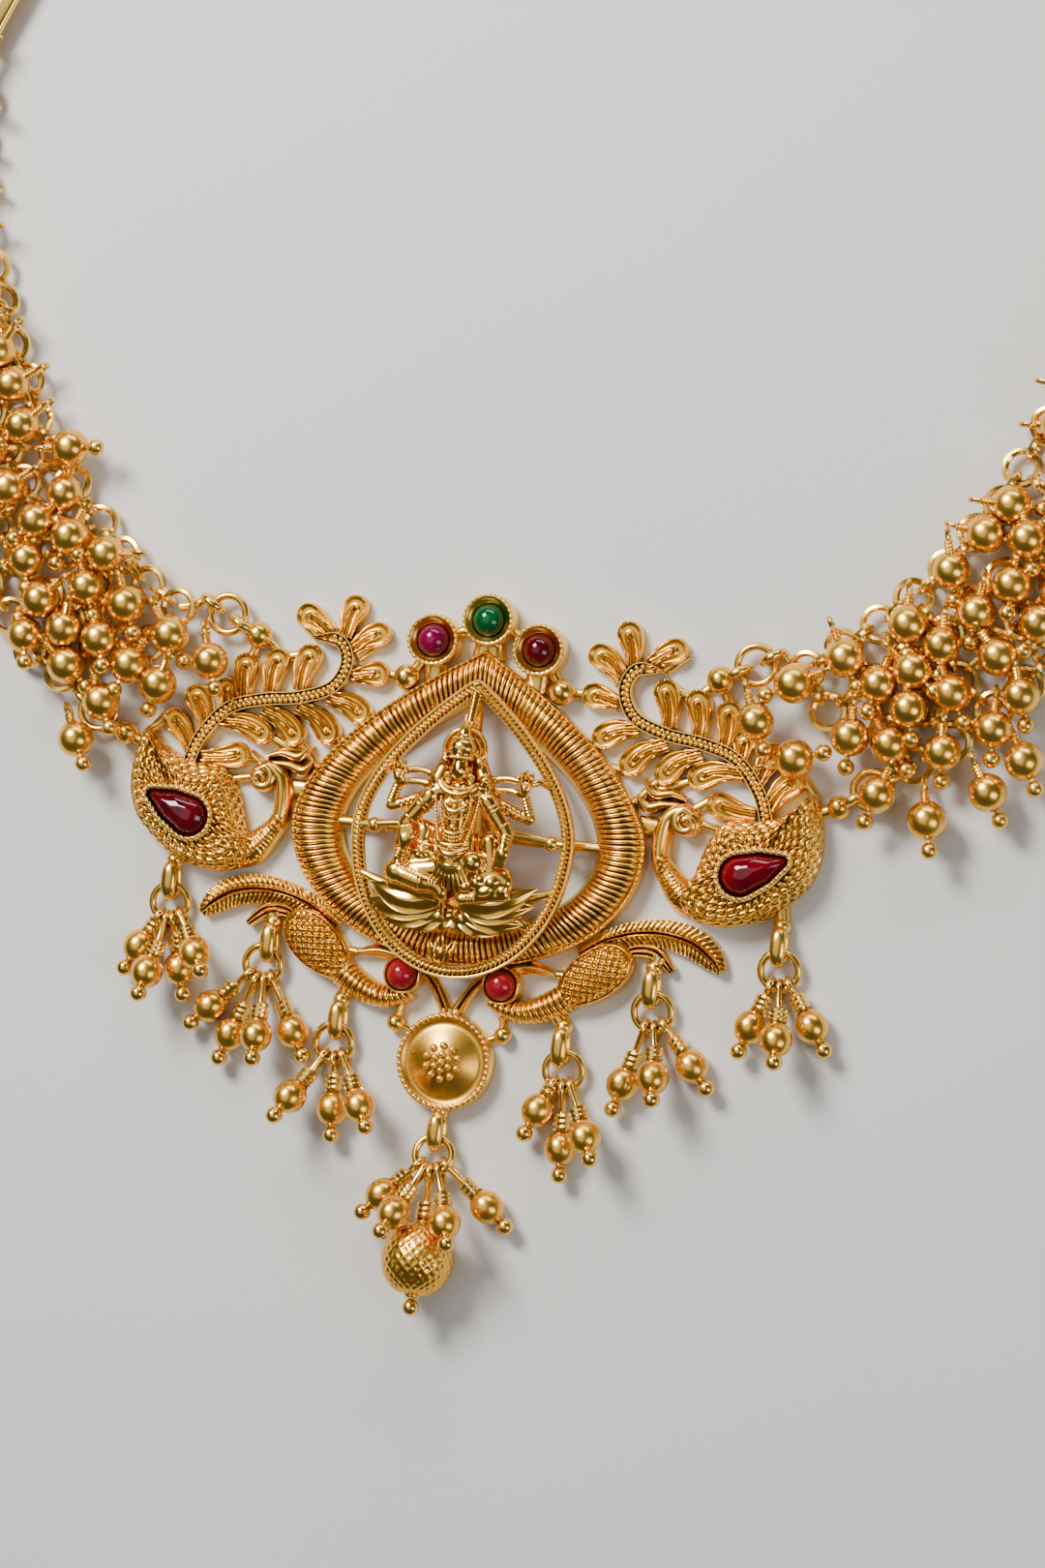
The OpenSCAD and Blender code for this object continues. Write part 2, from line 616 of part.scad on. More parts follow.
module head_and_crown() {
    z = figure_z - 1;
    // Crown tiers: height up the figure, radius
    TIERS = [[7.3, 1.15], [8.5, 0.85], [9.5, 0.6], [10.5, 0.4], [11.3, 0.2]];
    limb([0, 5.9, z], 1.05, [0, 5.2, z], 0.85, 7);
    for (i = [0 : len(TIERS) - 2])
        let (tier_z = z - 0.15 * i)
        limb([0, TIERS[i][0], tier_z], TIERS[i][1], [0, TIERS[i + 1][0], tier_z], TIERS[i + 1][1]);
    limb([0, 4.6, z - 0.8], 0.6, [0, 3.4, z - 1], 0.8);
    translate([0, 7.3, z - 2.4]) cylinder(r = 2.3, h = 0.9, $fn = 14);
    limb([0, 12.4, rope_z], 0.9, [0, 8, z - 2.6], 1.3);
    limb([0, 13.6, rope_z], 0.8, [0, 11, z - 0.8], 0.4);
}

module torso_and_arms() {
    z = figure_z - 1.6;
    limb([-2.2, 3, z - 0.4], 1, [2.2, 3, z - 0.4], 1);
    limb([0, 2.4, z], 1.7, [0, -1.2, z + 0.1], 1.35);
    limb([0, -1.2, z], 1.5, [0, -4.6, z - 0.2], 2.1);
    limb([0, 6, z - 2], 1.7, [0, -3, z - 2.6], 2.6);
    for (s = [-1, 1]) {
        limb([s * 2.8, 3, z - 0.5], 0.85, [s * 5.4, -0.7, z - 0.2], 0.75);
        limb([s * 5.4, -0.7, z - 0.2], 0.7, [s * 4.7, -2.8, z + 0.8], 0.5);
        limb([s * 3, 3.2, z - 1.2], 0.7, [s * 7.2, 0.9, z - 1.2], 0.6);
        limb([s * 7.2, 0.9, z - 1.2], 0.55, [s * 6.9, 3.8, z - 0.8], 0.5);
        limb([s * 6.9, 3.8, z - 0.8], 0.85, [s * 6.9, 5.2, z - 0.8], 0.5);
        limb([s * 6.3, 4.4, z - 1], 0.4, [s * 2.4, 4.4, z - 1], 0.6);
        limb([s * 7.2, 4.6, z - 1], 0.45, [s * 8.5, 4.8, rope_z], 0.5);
    }
    limb([2.6, -3.4, z + 0.9], 0.85, [2.6, -4.4, z], 1);
}

module legs_and_lotus() {
    z = figure_z - 1.4;
    limb([-6.2, -6.1, z - 0.6], 1.25, [1.4, -7, z], 1);
    limb([6.2, -6.1, z - 0.6], 1.25, [-1.4, -6.6, z - 0.6], 1);
    limb([0, -5, z - 1.6], 2.2, [0, -7, z - 2], 1.8);
    limb([-0.6, -8.1, z + 0.2], 0.6, [1, -7.8, z], 0.6);
    // Right half of the lotus, foot to side: across in shares of the seat's half width, and up
    PETALS = [
        [0, -11.2], [0.14, -10.3], [0.28, -11.1], [0.41, -9.9], [0.56, -10.4], [0.65, -8.8],
        [0.82, -8.6], [0.83, -7], [1, -6], [0.7, -5.2],
    ];
    outline = [
        for (p = PETALS) [p[0] * lotus_half_w, p[1]],
        for (i = [len(PETALS) - 1 : -1 : 1]) [-PETALS[i][0] * lotus_half_w, PETALS[i][1]],
    ];
    translate([0, 0, rope_z - rope_d])
        mound(outline, [0, -6.6], z - 0.4 - rope_z + rope_d, [[0.62, 0], [1, 0.34], [0.85, 0.7], [0.5, 1]]);
    limb([0, -10.5, rope_z - 0.1], 0.8, [-0.3, -14.6, rope_z], 0.7);
    for (s = [-1, 1])
        limb([s * 5.6, -9.2, rope_z], 0.8, [s * 7.6, -9.9, rope_z], 0.5);
}

// Strut behind the figure, whose ends sit in the ring's inner edge
module strut() {
    end = ring_inner[0] + 1 - fit_gap;
    translate([-end, strut_y - 0.6, 0]) cube([2 * end, 1.2, strut_bar_h]);
    translate([-4, strut_y - strut_h / 2 - 0.4, 0]) cube([8, strut_h + 0.8, strut_t]);
    for (s = [-1, 1]) {
        translate([s * knob_x, strut_y, 0]) cylinder(d = 1.6, h = rope_z, $fn = 8);
        limb([s * knob_x, strut_y, rope_z - 0.4], 0.6, [s * rope_half_w, strut_y, rope_z], 0.5);
        limb([s * knob_x, strut_y, rope_z - 0.4], 0.6, [s * 5, strut_y + 0.4, rope_z + 1], 0.6);
    }
    translate([0, strut_y, 0]) cylinder(r1 = 2, r2 = 2.6, h = rope_z, $fn = 12);
}

module figure_medallion() {
    color(gold)
    union() {
        rope_frame();
        head_and_crown();
        torso_and_arms();
        legs_and_lotus();
        strut();
    }
}

// Stones

// Round cabochon with a short straight girdle
module cabochon(d) {
    girdle = 0.5;
    dome_h = stone_h - girdle;
    dome_r = (d * d / 4 + dome_h * dome_h) / 2 / dome_h;
    translate([0, 0, seat_z + fit_gap / 2])
        intersection() {
            translate([0, 0, stone_h - dome_r]) sphere(r = dome_r, $fn = round_fn);
            cylinder(d = d, h = stone_h + 1, $fn = round_fn);
        }
}

module pear_stone() {
    // Share of the outline left at each share of the height
    LEVELS = [[1, 0], [1, 0.28], [0.9, 0.64], [0.68, 0.88], [0.35, 1]];
    in_pear_seat()
        translate([0, 0, pear_seat_z + fit_gap / 2])
        mound(pear_outline(0), [-0.15 * pear_l, 0], stone_h + 0.4, LEVELS);
}

module stone_top_green() {
    color("seagreen") at_grid(TOP_CUP) cabochon(top_stone_d);
}

module stone_top_left() {
    color("mediumvioletred") mirror([1, 0, 0]) at_grid(SIDE_CUP) cabochon(top_stone_d);
}

module stone_top_right() {
    color(ruby) at_grid(SIDE_CUP) cabochon(top_stone_d);
}

module stone_lower_left() {
    color("indianred") mirror([1, 0, 0]) at_grid(LOW_CUP) cabochon(low_stone_d);
}

module stone_lower_right() {
    color("indianred") at_grid(LOW_CUP) cabochon(low_stone_d);
}

module stone_pear_left() {
    color("darkred") mirror([1, 0, 0]) pear_stone();
}

module stone_pear_right() {
    color(ruby) pear_stone();
}

// Drops

module torus(r, wire) {
    rotate_extrude($fn = round_fn)
        translate([r, 0])
        circle(d = wire, $fn = 16);
}

// How far below a bail's middle its jump ring passes, clear of the bail where the ring curves away
ring_slack = 0.35;
ring_drop = bail_l / 2 - bail_wall - jump_wire / 2 - fit_gap / 2 - ring_slack;
// How far a jump ring tilts down
function ring_tilt(drop) = asin((ring_near_z - drop[2]) / (2 * jump_r));

// Frame of a jump ring: its near side in the bail, +Y pointing back up to the bail
module in_ring(drop) {
    translate([each (signed_at(drop[0]) + [0, -ring_drop]), ring_near_z])
        rotate([0, 0, drop[1]])
        children();
}

module drop_ring(drop) {
    color(gold)
    in_ring(drop)
        rotate([ring_tilt(drop), 0, 0])
        translate([0, -jump_r, 0])
        torus(jump_r, jump_wire);
}

// Frame of a pin: its eye round the ring's wire and +X along the pin
function pin_eye(drop, pin) =
    let (tilt = ring_tilt(drop), a = eye_spread * pin[0], reach = -jump_r - jump_r * cos(a))
    [jump_r * sin(a), reach * cos(tilt), reach * sin(tilt)];
function pin_rise(drop, pin) =
    asin((pin[2] * bead_d - ring_near_z - pin_eye(drop, pin)[2]) / norm([
        pin[1] * bead_d, pin[2] * bead_d - ring_near_z - pin_eye(drop, pin)[2]
    ]));

module on_pin(drop, pin) {
    in_ring(drop)
        translate(pin_eye(drop, pin))
        rotate([0, 0, pin[0] - 90])
        rotate([0, -pin_rise(drop, pin), 0])
        children();
}

function pin_reach(drop, pin) = pin[1] * bead_d / cos(pin_rise(drop, pin));

module ball_pin(reach, tip) {
    union() {
        rotate([90, 0, 0]) torus(pin_eye_r, pin_d);
        translate([pin_eye_r, 0, 0])
            rotate([0, 90, 0])
            cylinder(d = pin_d, h = reach + tip - pin_eye_r, $fn = 16);
        translate([reach + tip, 0, 0]) sphere(d = tip_d, $fn = 24);
    }
}

module drop_pins(drop) {
    color(gold)
    for (pin = drop[3])
        on_pin(drop, pin)
        ball_pin(pin_reach(drop, pin), bead_d / 2 + tip_gap + tip_d / 2);
}

module bored_bead(d) {
    rotate([0, 90, 0])
        rotate_extrude($fn = round_fn)
        difference() {
            circle(d = d, $fn = round_fn);
            translate([-d, -d]) square([d + pin_d / 2 + fit_gap, 2 * d]);
        }
}

module drop_beads(drop) {
    color(gold)
    for (pin = drop[3])
        on_pin(drop, pin)
        translate([pin_reach(drop, pin), 0, 0])
        bored_bead(bead_d);
}

// Pin of the centre drop's patterned ball, in the same terms as a bead's
CENTRE_PIN = [0, (centre_ball_d / 2 + 5) / bead_d, centre_ball_d / 2 / bead_d + 0.02];

module left_outer_ring() drop_ring(LEFT_OUTER);
module left_outer_pins() drop_pins(LEFT_OUTER);
module left_outer_beads() drop_beads(LEFT_OUTER);
module left_middle_ring() drop_ring(LEFT_MIDDLE);
module left_middle_pins() drop_pins(LEFT_MIDDLE);
module left_middle_beads() drop_beads(LEFT_MIDDLE);
module left_inner_ring() drop_ring(LEFT_INNER);
module left_inner_pins() drop_pins(LEFT_INNER);
module left_inner_beads() drop_beads(LEFT_INNER);
module centre_ring() drop_ring(CENTRE);
module centre_beads() drop_beads(CENTRE);
module right_inner_ring() drop_ring(RIGHT_INNER);
module right_inner_pins() drop_pins(RIGHT_INNER);
module right_inner_beads() drop_beads(RIGHT_INNER);
module right_middle_ring() drop_ring(RIGHT_MIDDLE);
module right_middle_pins() drop_pins(RIGHT_MIDDLE);
module right_middle_beads() drop_beads(RIGHT_MIDDLE);
module right_outer_ring() drop_ring(RIGHT_OUTER);
module right_outer_pins() drop_pins(RIGHT_OUTER);
module right_outer_beads() drop_beads(RIGHT_OUTER);

module centre_pins() {
    drop_pins(CENTRE);
    color(gold)
    on_pin(CENTRE, CENTRE_PIN)
        ball_pin(pin_reach(CENTRE, CENTRE_PIN), centre_ball_d / 2 + tip_gap + tip_d / 2);
}

module centre_ball() {
    color(gold)
    on_pin(CENTRE, CENTRE_PIN)
        translate([pin_reach(CENTRE, CENTRE_PIN), 0, 0])
        bored_bead(centre_ball_d);
}

// Bands, links, chain and clasp

module link(r, a) {
    color(gold)
    translate([each polar(r, link_angle(r, a)), eye_z])
        torus(jump_r, jump_wire);
}

module link_right_upper() link(upper_r, upper_a);
module link_right_lower() link(lower_r, lower_a);
module link_left_upper() mirror([1, 0, 0]) link(upper_r, upper_a);
module link_left_lower() mirror([1, 0, 0]) link(lower_r, lower_a);

// Ring sector about the middle of the neck loop, with a section of [radius, height]
module sector(section, from, to) {
    translate([0, loop_y, 0])
        rotate([0, 0, from - 90])
        rotate_extrude(angle = to - from, $fn = 180)
        polygon(section);
}

module band() {
    inner = neck_r;
    outer = neck_r + band_w;
    bevel = 0.6;
    // Pads that tie the eyes to the mesh, set a little way into it
    pad_d = 2.6 * eye_wire;
    pad_shift = 0.9 * eye_wire;
    upper_end = band_eye_angle(upper_r, upper_a) + arc_angle(eye_d / 2 - eye_wire / 2, upper_r);
    lower_end = band_eye_angle(lower_r, lower_a) + arc_angle(eye_d / 2 - eye_wire / 2, lower_r);
    upper = polar(upper_r, upper_end);
    lower = polar(lower_r, lower_end);
    slant = atan2(lower[1] - upper[1], lower[0] - upper[0]);
    color(gold)
    difference() {
        union() {
            difference() {
                sector([
                    [inner, 0], [outer - bevel, 0], [outer, bevel], [outer, mesh_t - bevel],
                    [outer - bevel, mesh_t], [inner + bevel, mesh_t], [inner, mesh_t - bevel],
                ], upper_end - 5, band_end);
                translate([each upper, -1])
                    rotate([0, 0, slant])
                    translate([-20, -20, 0])
                    cube([60, 20, mesh_t + 2]);
            }
            for (row = [0 : bead_rows - 1])
                let (r = neck_r + row_pitch * (row + 0.5) + 0.4 * mesh_bead_d / 2,
                    step = arc_angle(mesh_pitch, r),
                    edge = upper_end + (lower_end - upper_end) * (r - upper_r) / (lower_r - upper_r),
                    from = edge + arc_angle(mesh_bead_d / 2, r) + step * (row % 2) / 2)
                for (a = [from : step : band_end - arc_angle(mesh_bead_d / 2, r)])
                    translate([each polar(r, a), mesh_bead_z]) sphere(d = mesh_bead_d, $fn = 24);
            for (eye = [[upper_r, upper_a, upper], [lower_r, lower_a, lower]]) {
                translate([each polar(eye[0], band_eye_angle(eye[0], eye[1])), eye_z])
                    rotate([0, 0, band_eye_angle(eye[0], eye[1])])
                    rotate([90, 0, 0])
                    torus((eye_d - eye_wire) / 2, eye_wire);
                pad = eye[2] + pad_shift * [cos(slant + 90), sin(slant + 90)];
                root_r = max(radius_of(pad), inner + pad_d / 2);
                hull()
                    for (end = [pad, polar(root_r, angle_of(pad) + arc_angle(pad_shift, root_r))])
                        translate([each end, 0])
                        cylinder(d = pad_d, h = 0.8 * mesh_t, $fn = 24);
            }
            band_tip();
        }
        translate([each polar(chain_path_r, band_tip_a), -1]) cylinder(d = band_eye_hole, h = 8, $fn = 24);
    }
}

// Plain tapered end of a band, with an eye for the chain
module band_tip() {
    t = 1;
    eye = polar(chain_path_r, band_tip_a);
    translate([0, 0, chain_z - t / 2])
        linear_extrude(t)
        hull() {
            translate(eye) circle(d = band_eye_hole + 2 * band_eye_wall, $fn = 32);
            polygon([
                polar(neck_r + 0.4, band_end - 1), polar(neck_r + band_w - 2, band_end - 1),
                polar(neck_r + band_w - 3, band_end + 1), polar(neck_r + 0.4, band_end + 1),
            ]);
        }
}

module band_right() band();
module band_left() mirror([1, 0, 0]) band();

module back_chain() {
    color(gold)
    for (i = [0 : chain_count])
        let (a = chain_from + chain_step * i)
        translate([each polar(chain_path_r, a), chain_z])
        rotate([0, 0, a])
        rotate([i % 2 == 0 ? 45 : -45, 0, 0])
        torus(chain_r, chain_wire);
}

module back_chain_right() back_chain();
module back_chain_left() mirror([1, 0, 0]) back_chain();

// Plain bar with an eye at each end, which holds the last links of both chains
module clasp() {
    eye = polar(chain_path_r, clasp_half);
    color(gold)
    translate([0, 0, chain_z - chain_wire / 2])
        difference() {
            union() {
                for (s = [-1, 1])
                    translate([s * eye[0], eye[1], 0]) cylinder(d = clasp_eye_d, h = chain_wire, $fn = 32);
                translate([-eye[0], eye[1] - chain_wire, 0]) cube([2 * eye[0], 2 * chain_wire, chain_wire]);
            }
            for (s = [-1, 1])
                translate([s * eye[0], eye[1], -1])
                    cylinder(d = clasp_eye_d - 2 * band_eye_wall, h = chain_wire + 2, $fn = 32);
        }
}

pendant_frame();
figure_medallion();
stone_top_green();
stone_top_left();
stone_top_right();
stone_lower_left();
stone_lower_right();
stone_pear_left();
stone_pear_right();
left_outer_ring();
left_outer_pins();
left_outer_beads();
left_middle_ring();
left_middle_pins();
left_middle_beads();
left_inner_ring();
left_inner_pins();
left_inner_beads();
centre_ring();
centre_pins();
centre_beads();
centre_ball();
right_inner_ring();
right_inner_pins();
right_inner_beads();
right_middle_ring();
right_middle_pins();
right_middle_beads();
right_outer_ring();
right_outer_pins();
right_outer_beads();
band_left();
band_right();
link_left_upper();
link_left_lower();
link_right_upper();
link_right_lower();
back_chain_left();
back_chain_right();
clasp();
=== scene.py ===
"""Temple jewellery necklace: the fine relief, wires, beads, materials, lights and camera."""

import math
import bmesh
import bpy
import numpy as np
from mathutils import Matrix, Vector


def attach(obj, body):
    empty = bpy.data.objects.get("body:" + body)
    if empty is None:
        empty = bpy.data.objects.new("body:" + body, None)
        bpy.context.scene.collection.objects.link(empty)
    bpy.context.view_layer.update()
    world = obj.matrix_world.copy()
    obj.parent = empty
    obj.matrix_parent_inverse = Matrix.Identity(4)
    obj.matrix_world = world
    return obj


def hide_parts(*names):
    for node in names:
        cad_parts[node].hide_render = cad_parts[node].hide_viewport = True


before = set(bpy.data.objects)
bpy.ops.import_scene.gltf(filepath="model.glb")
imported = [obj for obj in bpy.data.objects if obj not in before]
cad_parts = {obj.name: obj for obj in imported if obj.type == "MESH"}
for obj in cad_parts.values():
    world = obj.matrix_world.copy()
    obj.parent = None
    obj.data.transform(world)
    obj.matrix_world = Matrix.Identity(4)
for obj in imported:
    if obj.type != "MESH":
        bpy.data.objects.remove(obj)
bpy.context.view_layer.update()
MM = 0.001
rng = np.random.default_rng(7)

# sizes, as in the part's source, in mm
neck_r, loop_cross_y = 58.5, 11.2
ring_w, ring_top, ring_foot, ring_face, ring_rise = 38.0, 18.0, 14.8, 5.3, 2.8
wing_w, stem_w, stem_rise, leaf_w, leaf_rise = 18.1, 1.4, 1.7, 2.4, 1.5
peacock_rise, neck_w, neck_rise, corner_ball_d, tail_ball_d = 4.4, 2.0, 2.4, 2.9, 2.5
mango_rise, mango_l, mango_w, trim_rise = 3.0, 9.2, 5.3, 1.6
top_stone_d, top_cup_d, low_stone_d, low_cup_d = 3.4, 5.5, 3.25, 4.1
pear_l, pear_w, pear_border, stone_h, seat_z = 7.2, 4.1, 0.6, 2.1, 1.6
disc_d, disc_rise = 10.2, 3.2
rope_half_w, rope_top, rope_foot, rope_d = 11.1, 14.1, 15.4, 1.1
jump_d, jump_wire, bail_l, bail_w, bail_wall = 4.7, 0.8, 4.4, 1.5, 0.9
bead_d, tip_d, pin_d, centre_ball_d = 3.1, 1.8, 0.45, 7.6
band_w, band_end, mesh_bead_d = 18.6, 98.0, 4.0
chain_d, chain_wire, clasp_eye_d, fit_gap = 6.2, 1.1, 6.0, 0.12

loop_y = loop_cross_y + neck_r
jump_r = (jump_d - jump_wire) / 2
bail_h = jump_wire + 3 * fit_gap + 2 * bail_wall
ring_drop = bail_l / 2 - bail_wall - jump_wire / 2 - fit_gap / 2 - 0.35
pear_seat_z = peacock_rise - 1.2
rope_z = ring_rise + fit_gap + rope_d / 2 + 0.45
eye_wire = 1.0
eye_d = jump_wire + 2 * eye_wire + 4 * fit_gap
eye_z = eye_d / 2
chain_r = (chain_d - chain_wire) / 2
chain_z = chain_r * math.sin(math.radians(45)) + chain_wire / 2
chain_path_r = neck_r + chain_d / 2 + 0.4


# Half width of the ring, reach of a wing beyond it, and the ring's top and foot, where places are read
drawn_half_w, drawn_wing_w, drawn_top, drawn_foot = 18.4, 17.6, 18, 14.8


def across(x):
    """A place's distance from the centre line at the real width of the ring and the wings."""
    if x < drawn_half_w:
        return x * ring_w / 2 / drawn_half_w
    return ring_w / 2 + (x - drawn_half_w) * wing_w / drawn_wing_w


def along(y):
    return y * ring_top / drawn_top if y > 0 else y * ring_foot / drawn_foot


def at(p):
    return np.array([across(p[0]), along(p[1])])


def signed_at(p):
    return np.array([math.copysign(1, p[0]) * across(abs(p[0])), along(p[1])])


def polar(r, a):
    """Point at a radius and an angle about the middle of the neck loop."""
    t = math.radians(a)
    return np.array([r * math.sin(t), loop_y - r * math.cos(t)])


def arc_angle(length, r):
    return math.degrees(length / r)


# mesh building


def circle(n):
    """Angles of n points round a full turn."""
    return np.linspace(0, 2 * math.pi, n, endpoint=False)


def spun(radii, heights, u):
    """Profile turned about Z, as a row of points for each radius and height."""
    x, y = np.outer(radii, np.cos(u)), np.outer(radii, np.sin(u))
    return np.stack([x, y, np.outer(heights, np.ones(len(u)))], -1)


def directions(line, closed=False):
    """Unit direction of a line at each of its points."""
    d = np.roll(line, -1, 0) - np.roll(line, 1, 0) if closed else np.gradient(line, axis=0)
    return d / np.linalg.norm(d, axis=1)[:, None]


def to_left(d):
    """Flat directions turned a quarter to the left."""
    return np.stack([-d[:, 1], d[:, 0]], -1)


class Form:
    """Points, quads and triangles of one piece, in millimetres."""

    def __init__(self):
        self.points, self.quads, self.tris, self.n = [], [], [], 0

    def grid(self, p, wrap_u=False, wrap_v=False, cap=False):
        p = np.asarray(p, float)
        m, n = p.shape[:2]
        i = np.arange(m if wrap_u else m - 1)
        j = np.arange(n if wrap_v else n - 1)
        a, b = np.meshgrid(i, j, indexing="ij")
        a2, b2 = (a + 1) % m, (b + 1) % n
        quads = np.stack([a * n + b, a2 * n + b, a2 * n + b2, a * n + b2], -1).reshape(-1, 4)
        self.quads.append(quads + self.n)
        pts = p.reshape(-1, 3)
        if cap:
            pts = np.vstack([pts, p[0].mean(0), p[-1].mean(0)])
            k = np.arange(n)
            k2 = (k + 1) % n
            first = np.stack([k2, k, np.full(n, m * n)], -1)
            last = np.stack([k + (m - 1) * n, k2 + (m - 1) * n, np.full(n, m * n + 1)], -1)
            self.tris.append(np.vstack([first, last]) + self.n)
        self.points.append(pts)
        self.n += len(pts)

    def ball(self, c, r, nu=14, nv=10, axis=(0, 0, 1), stretch=1.0):
        """Ball about c, stretched along its axis."""
        f = frame_of(axis)
        c = np.asarray(c, float)
        t = np.linspace(0, math.pi, nv + 1)[1:-1]
        base = self.n
        last = base + (nv - 2) * nu
        self.grid(spun(np.sin(t), np.cos(t) * stretch, circle(nu)) * r @ f + c, wrap_v=True)
        top, foot = c + f[2] * r * stretch, c - f[2] * r * stretch
        k = np.arange(nu)
        k2 = (k + 1) % nu
        self.points.append(np.array([top, foot]))
        self.tris.append(np.stack([k + base, k2 + base, np.full(nu, self.n)], -1))
        self.tris.append(np.stack([k2 + last, k + last, np.full(nu, self.n + 1)], -1))
        self.n += 2

    def blob(self, c, radii, nu=20, nv=14, turn=0):
        """Ball with its own radius along each axis, turned about Z."""
        t = np.linspace(0, math.pi, nv + 1)
        p = spun(np.sin(t), np.cos(t), circle(nu))[..., [0, 2, 1]] * np.asarray(radii, float)
        s, k = math.sin(math.radians(turn)), math.cos(math.radians(turn))
        self.grid(p @ np.array([[k, s, 0], [-s, k, 0], [0, 0, 1]]) + np.asarray(c, float), wrap_v=True)

    def ring(self, c, axis, r, wire, nu=28, nv=10):
        """Closed ring of round wire about an axis."""
        v = circle(nv)
        local = spun(r + wire / 2 * np.cos(v), wire / 2 * np.sin(v), circle(nu)).swapaxes(0, 1)
        self.grid(local @ frame_of(axis) + np.asarray(c, float), wrap_u=True, wrap_v=True)

    def tube(self, path, r, nv=8, closed=False, up=(0, 0, 1)):
        """Round wire along a path, with its own radius at each point."""
        path = np.asarray(path, float)
        d = directions(path, closed)
        side = np.cross(d, np.asarray(up, float))
        weak = np.linalg.norm(side, axis=1) < 1e-3
        side[weak] = np.cross(d[weak], np.array([1.0, 0.3, 0.0]))
        side /= np.linalg.norm(side, axis=1)[:, None]
        top = np.cross(side, d)
        v = circle(nv)[None, :, None]
        r = np.broadcast_to(np.asarray(r, float), (len(path),))[:, None, None]
        p = path[:, None] + r * (np.cos(v) * side[:, None] + np.sin(v) * top[:, None])
        self.grid(p, wrap_u=closed, wrap_v=True, cap=not closed)

    def sweep(self, path, width, shares, heights):
        """Relief along a flat path: shares run from one side (-1) to the other (1), heights over each."""
        path = np.asarray(path, float)
        normal = to_left(directions(path))
        half = np.broadcast_to(np.asarray(width, float) / 2, (len(path),))
        flat = path[:, None] + normal[:, None] * (half[:, None] * shares[None])[..., None]
        p = np.concatenate([flat, np.broadcast_to(heights, flat.shape[:2])[..., None]], -1)
        foot = p.copy()[:, [-1, 0]]
        foot[..., 2] = 0
        self.grid(np.concatenate([p, foot], 1), wrap_v=True, cap=True)

    def revolve(self, c, profile, n=48):
        """Round piece about Z through c, its profile as radius and height."""
        radii, heights = np.asarray(profile, float).T
        self.grid(spun(radii, heights, circle(n)) + np.asarray(c, float), wrap_v=True, cap=True)

    def granules(self, c, radius, z, count, size, nu=10, nv=8, shift=0.0):
        """Ring of small balls round c."""
        for k in range(count):
            t = 2 * math.pi * (k + shift) / count
            self.ball((c[0] + radius * math.cos(t), c[1] + radius * math.sin(t), z), size, nu, nv)

    def take(self, other, mirror=False):
        """Adds another form's faces to this one, mirrored across the centre line if wanted."""
        scale = np.array([-1.0 if mirror else 1.0, 1.0, 1.0])
        for p in other.points:
            self.points.append(p * scale)
        for q in other.quads:
            self.quads.append((q[:, ::-1] if mirror else q) + self.n)
        for t in other.tris:
            self.tris.append((t[:, ::-1] if mirror else t) + self.n)
        self.n += other.n


def frame_of(axis):
    """Rows are X, Y and Z of a frame whose Z is the axis."""
    z = np.asarray(axis, float)
    z = z / np.linalg.norm(z)
    x = np.cross(np.array([0.0, 0.0, 1.0]), z)
    x = np.array([1.0, 0.0, 0.0]) if np.linalg.norm(x) < 1e-6 else x / np.linalg.norm(x)
    return np.stack([x, np.cross(z, x), z])


def built(*parts):
    """Form made by each of the parts in turn."""
    form = Form()
    for part in parts:
        part(form)
    return form


def mesh_of(name, form):
    """Blender mesh of a form, in metres."""
    points = np.concatenate(form.points) * MM
    quads = np.concatenate(form.quads) if form.quads else np.zeros((0, 4), int)
    tris = np.concatenate(form.tris) if form.tris else np.zeros((0, 3), int)
    loops = np.concatenate([quads.ravel(), tris.ravel()]).astype(np.int32)
    starts = np.concatenate([np.arange(len(quads)) * 4, len(quads) * 4 + np.arange(len(tris)) * 3])
    mesh = bpy.data.meshes.new(name)
    mesh.vertices.add(len(points))
    mesh.vertices.foreach_set("co", points.ravel())
    mesh.loops.add(len(loops))
    mesh.loops.foreach_set("vertex_index", loops)
    mesh.polygons.add(len(starts))
    mesh.polygons.foreach_set("loop_start", starts.astype(np.int32))
    mesh.update(calc_edges=True)
    mesh.validate()
    bm = bmesh.new()
    bm.from_mesh(mesh)
    bmesh.ops.remove_doubles(bm, verts=bm.verts, dist=1e-7)
    bmesh.ops.recalc_face_normals(bm, faces=bm.faces)
    bm.to_mesh(mesh)
    bm.free()
    return mesh


def piece(name, form, material, slot, *nodes, angle=50):
    """Object of a form or a mesh, which stands for the nodes. Edges sharper than the angle stay sharp."""
    mesh = form if isinstance(form, bpy.types.Mesh) else mesh_of(name, form)
    mesh.polygons.foreach_set("use_smooth", np.ones(len(mesh.polygons), bool))
    if angle < 180:
        mesh.set_sharp_from_angle(angle=math.radians(angle))
    mesh.materials.clear()
    mesh.materials.append(material)
    obj = bpy.data.objects.new(name, mesh)
    bpy.context.scene.collection.objects.link(obj)
    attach(obj, "root")
    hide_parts(*nodes)


def curve(rows, n, closed=False):
    """Smooth curve through the rows, with n steps."""
    rows = np.asarray(rows, float)
    m = len(rows)
    s = np.linspace(0, m if closed else m - 1, n, endpoint=not closed)
    k = np.minimum(np.floor(s).astype(int), m - 1 if closed else m - 2)
    t = (s - k)[:, None]
    if closed:
        a, b, c, d = rows[(k - 1) % m], rows[k % m], rows[(k + 1) % m], rows[(k + 2) % m]
    else:
        a, b, c, d = rows[np.maximum(k - 1, 0)], rows[k], rows[k + 1], rows[np.minimum(k + 2, m - 1)]
    return 0.5 * (2 * b + (c - a) * t + (2 * a - 5 * b + 4 * c - d) * t**2 + (3 * b - a - 3 * c + d) * t**3)


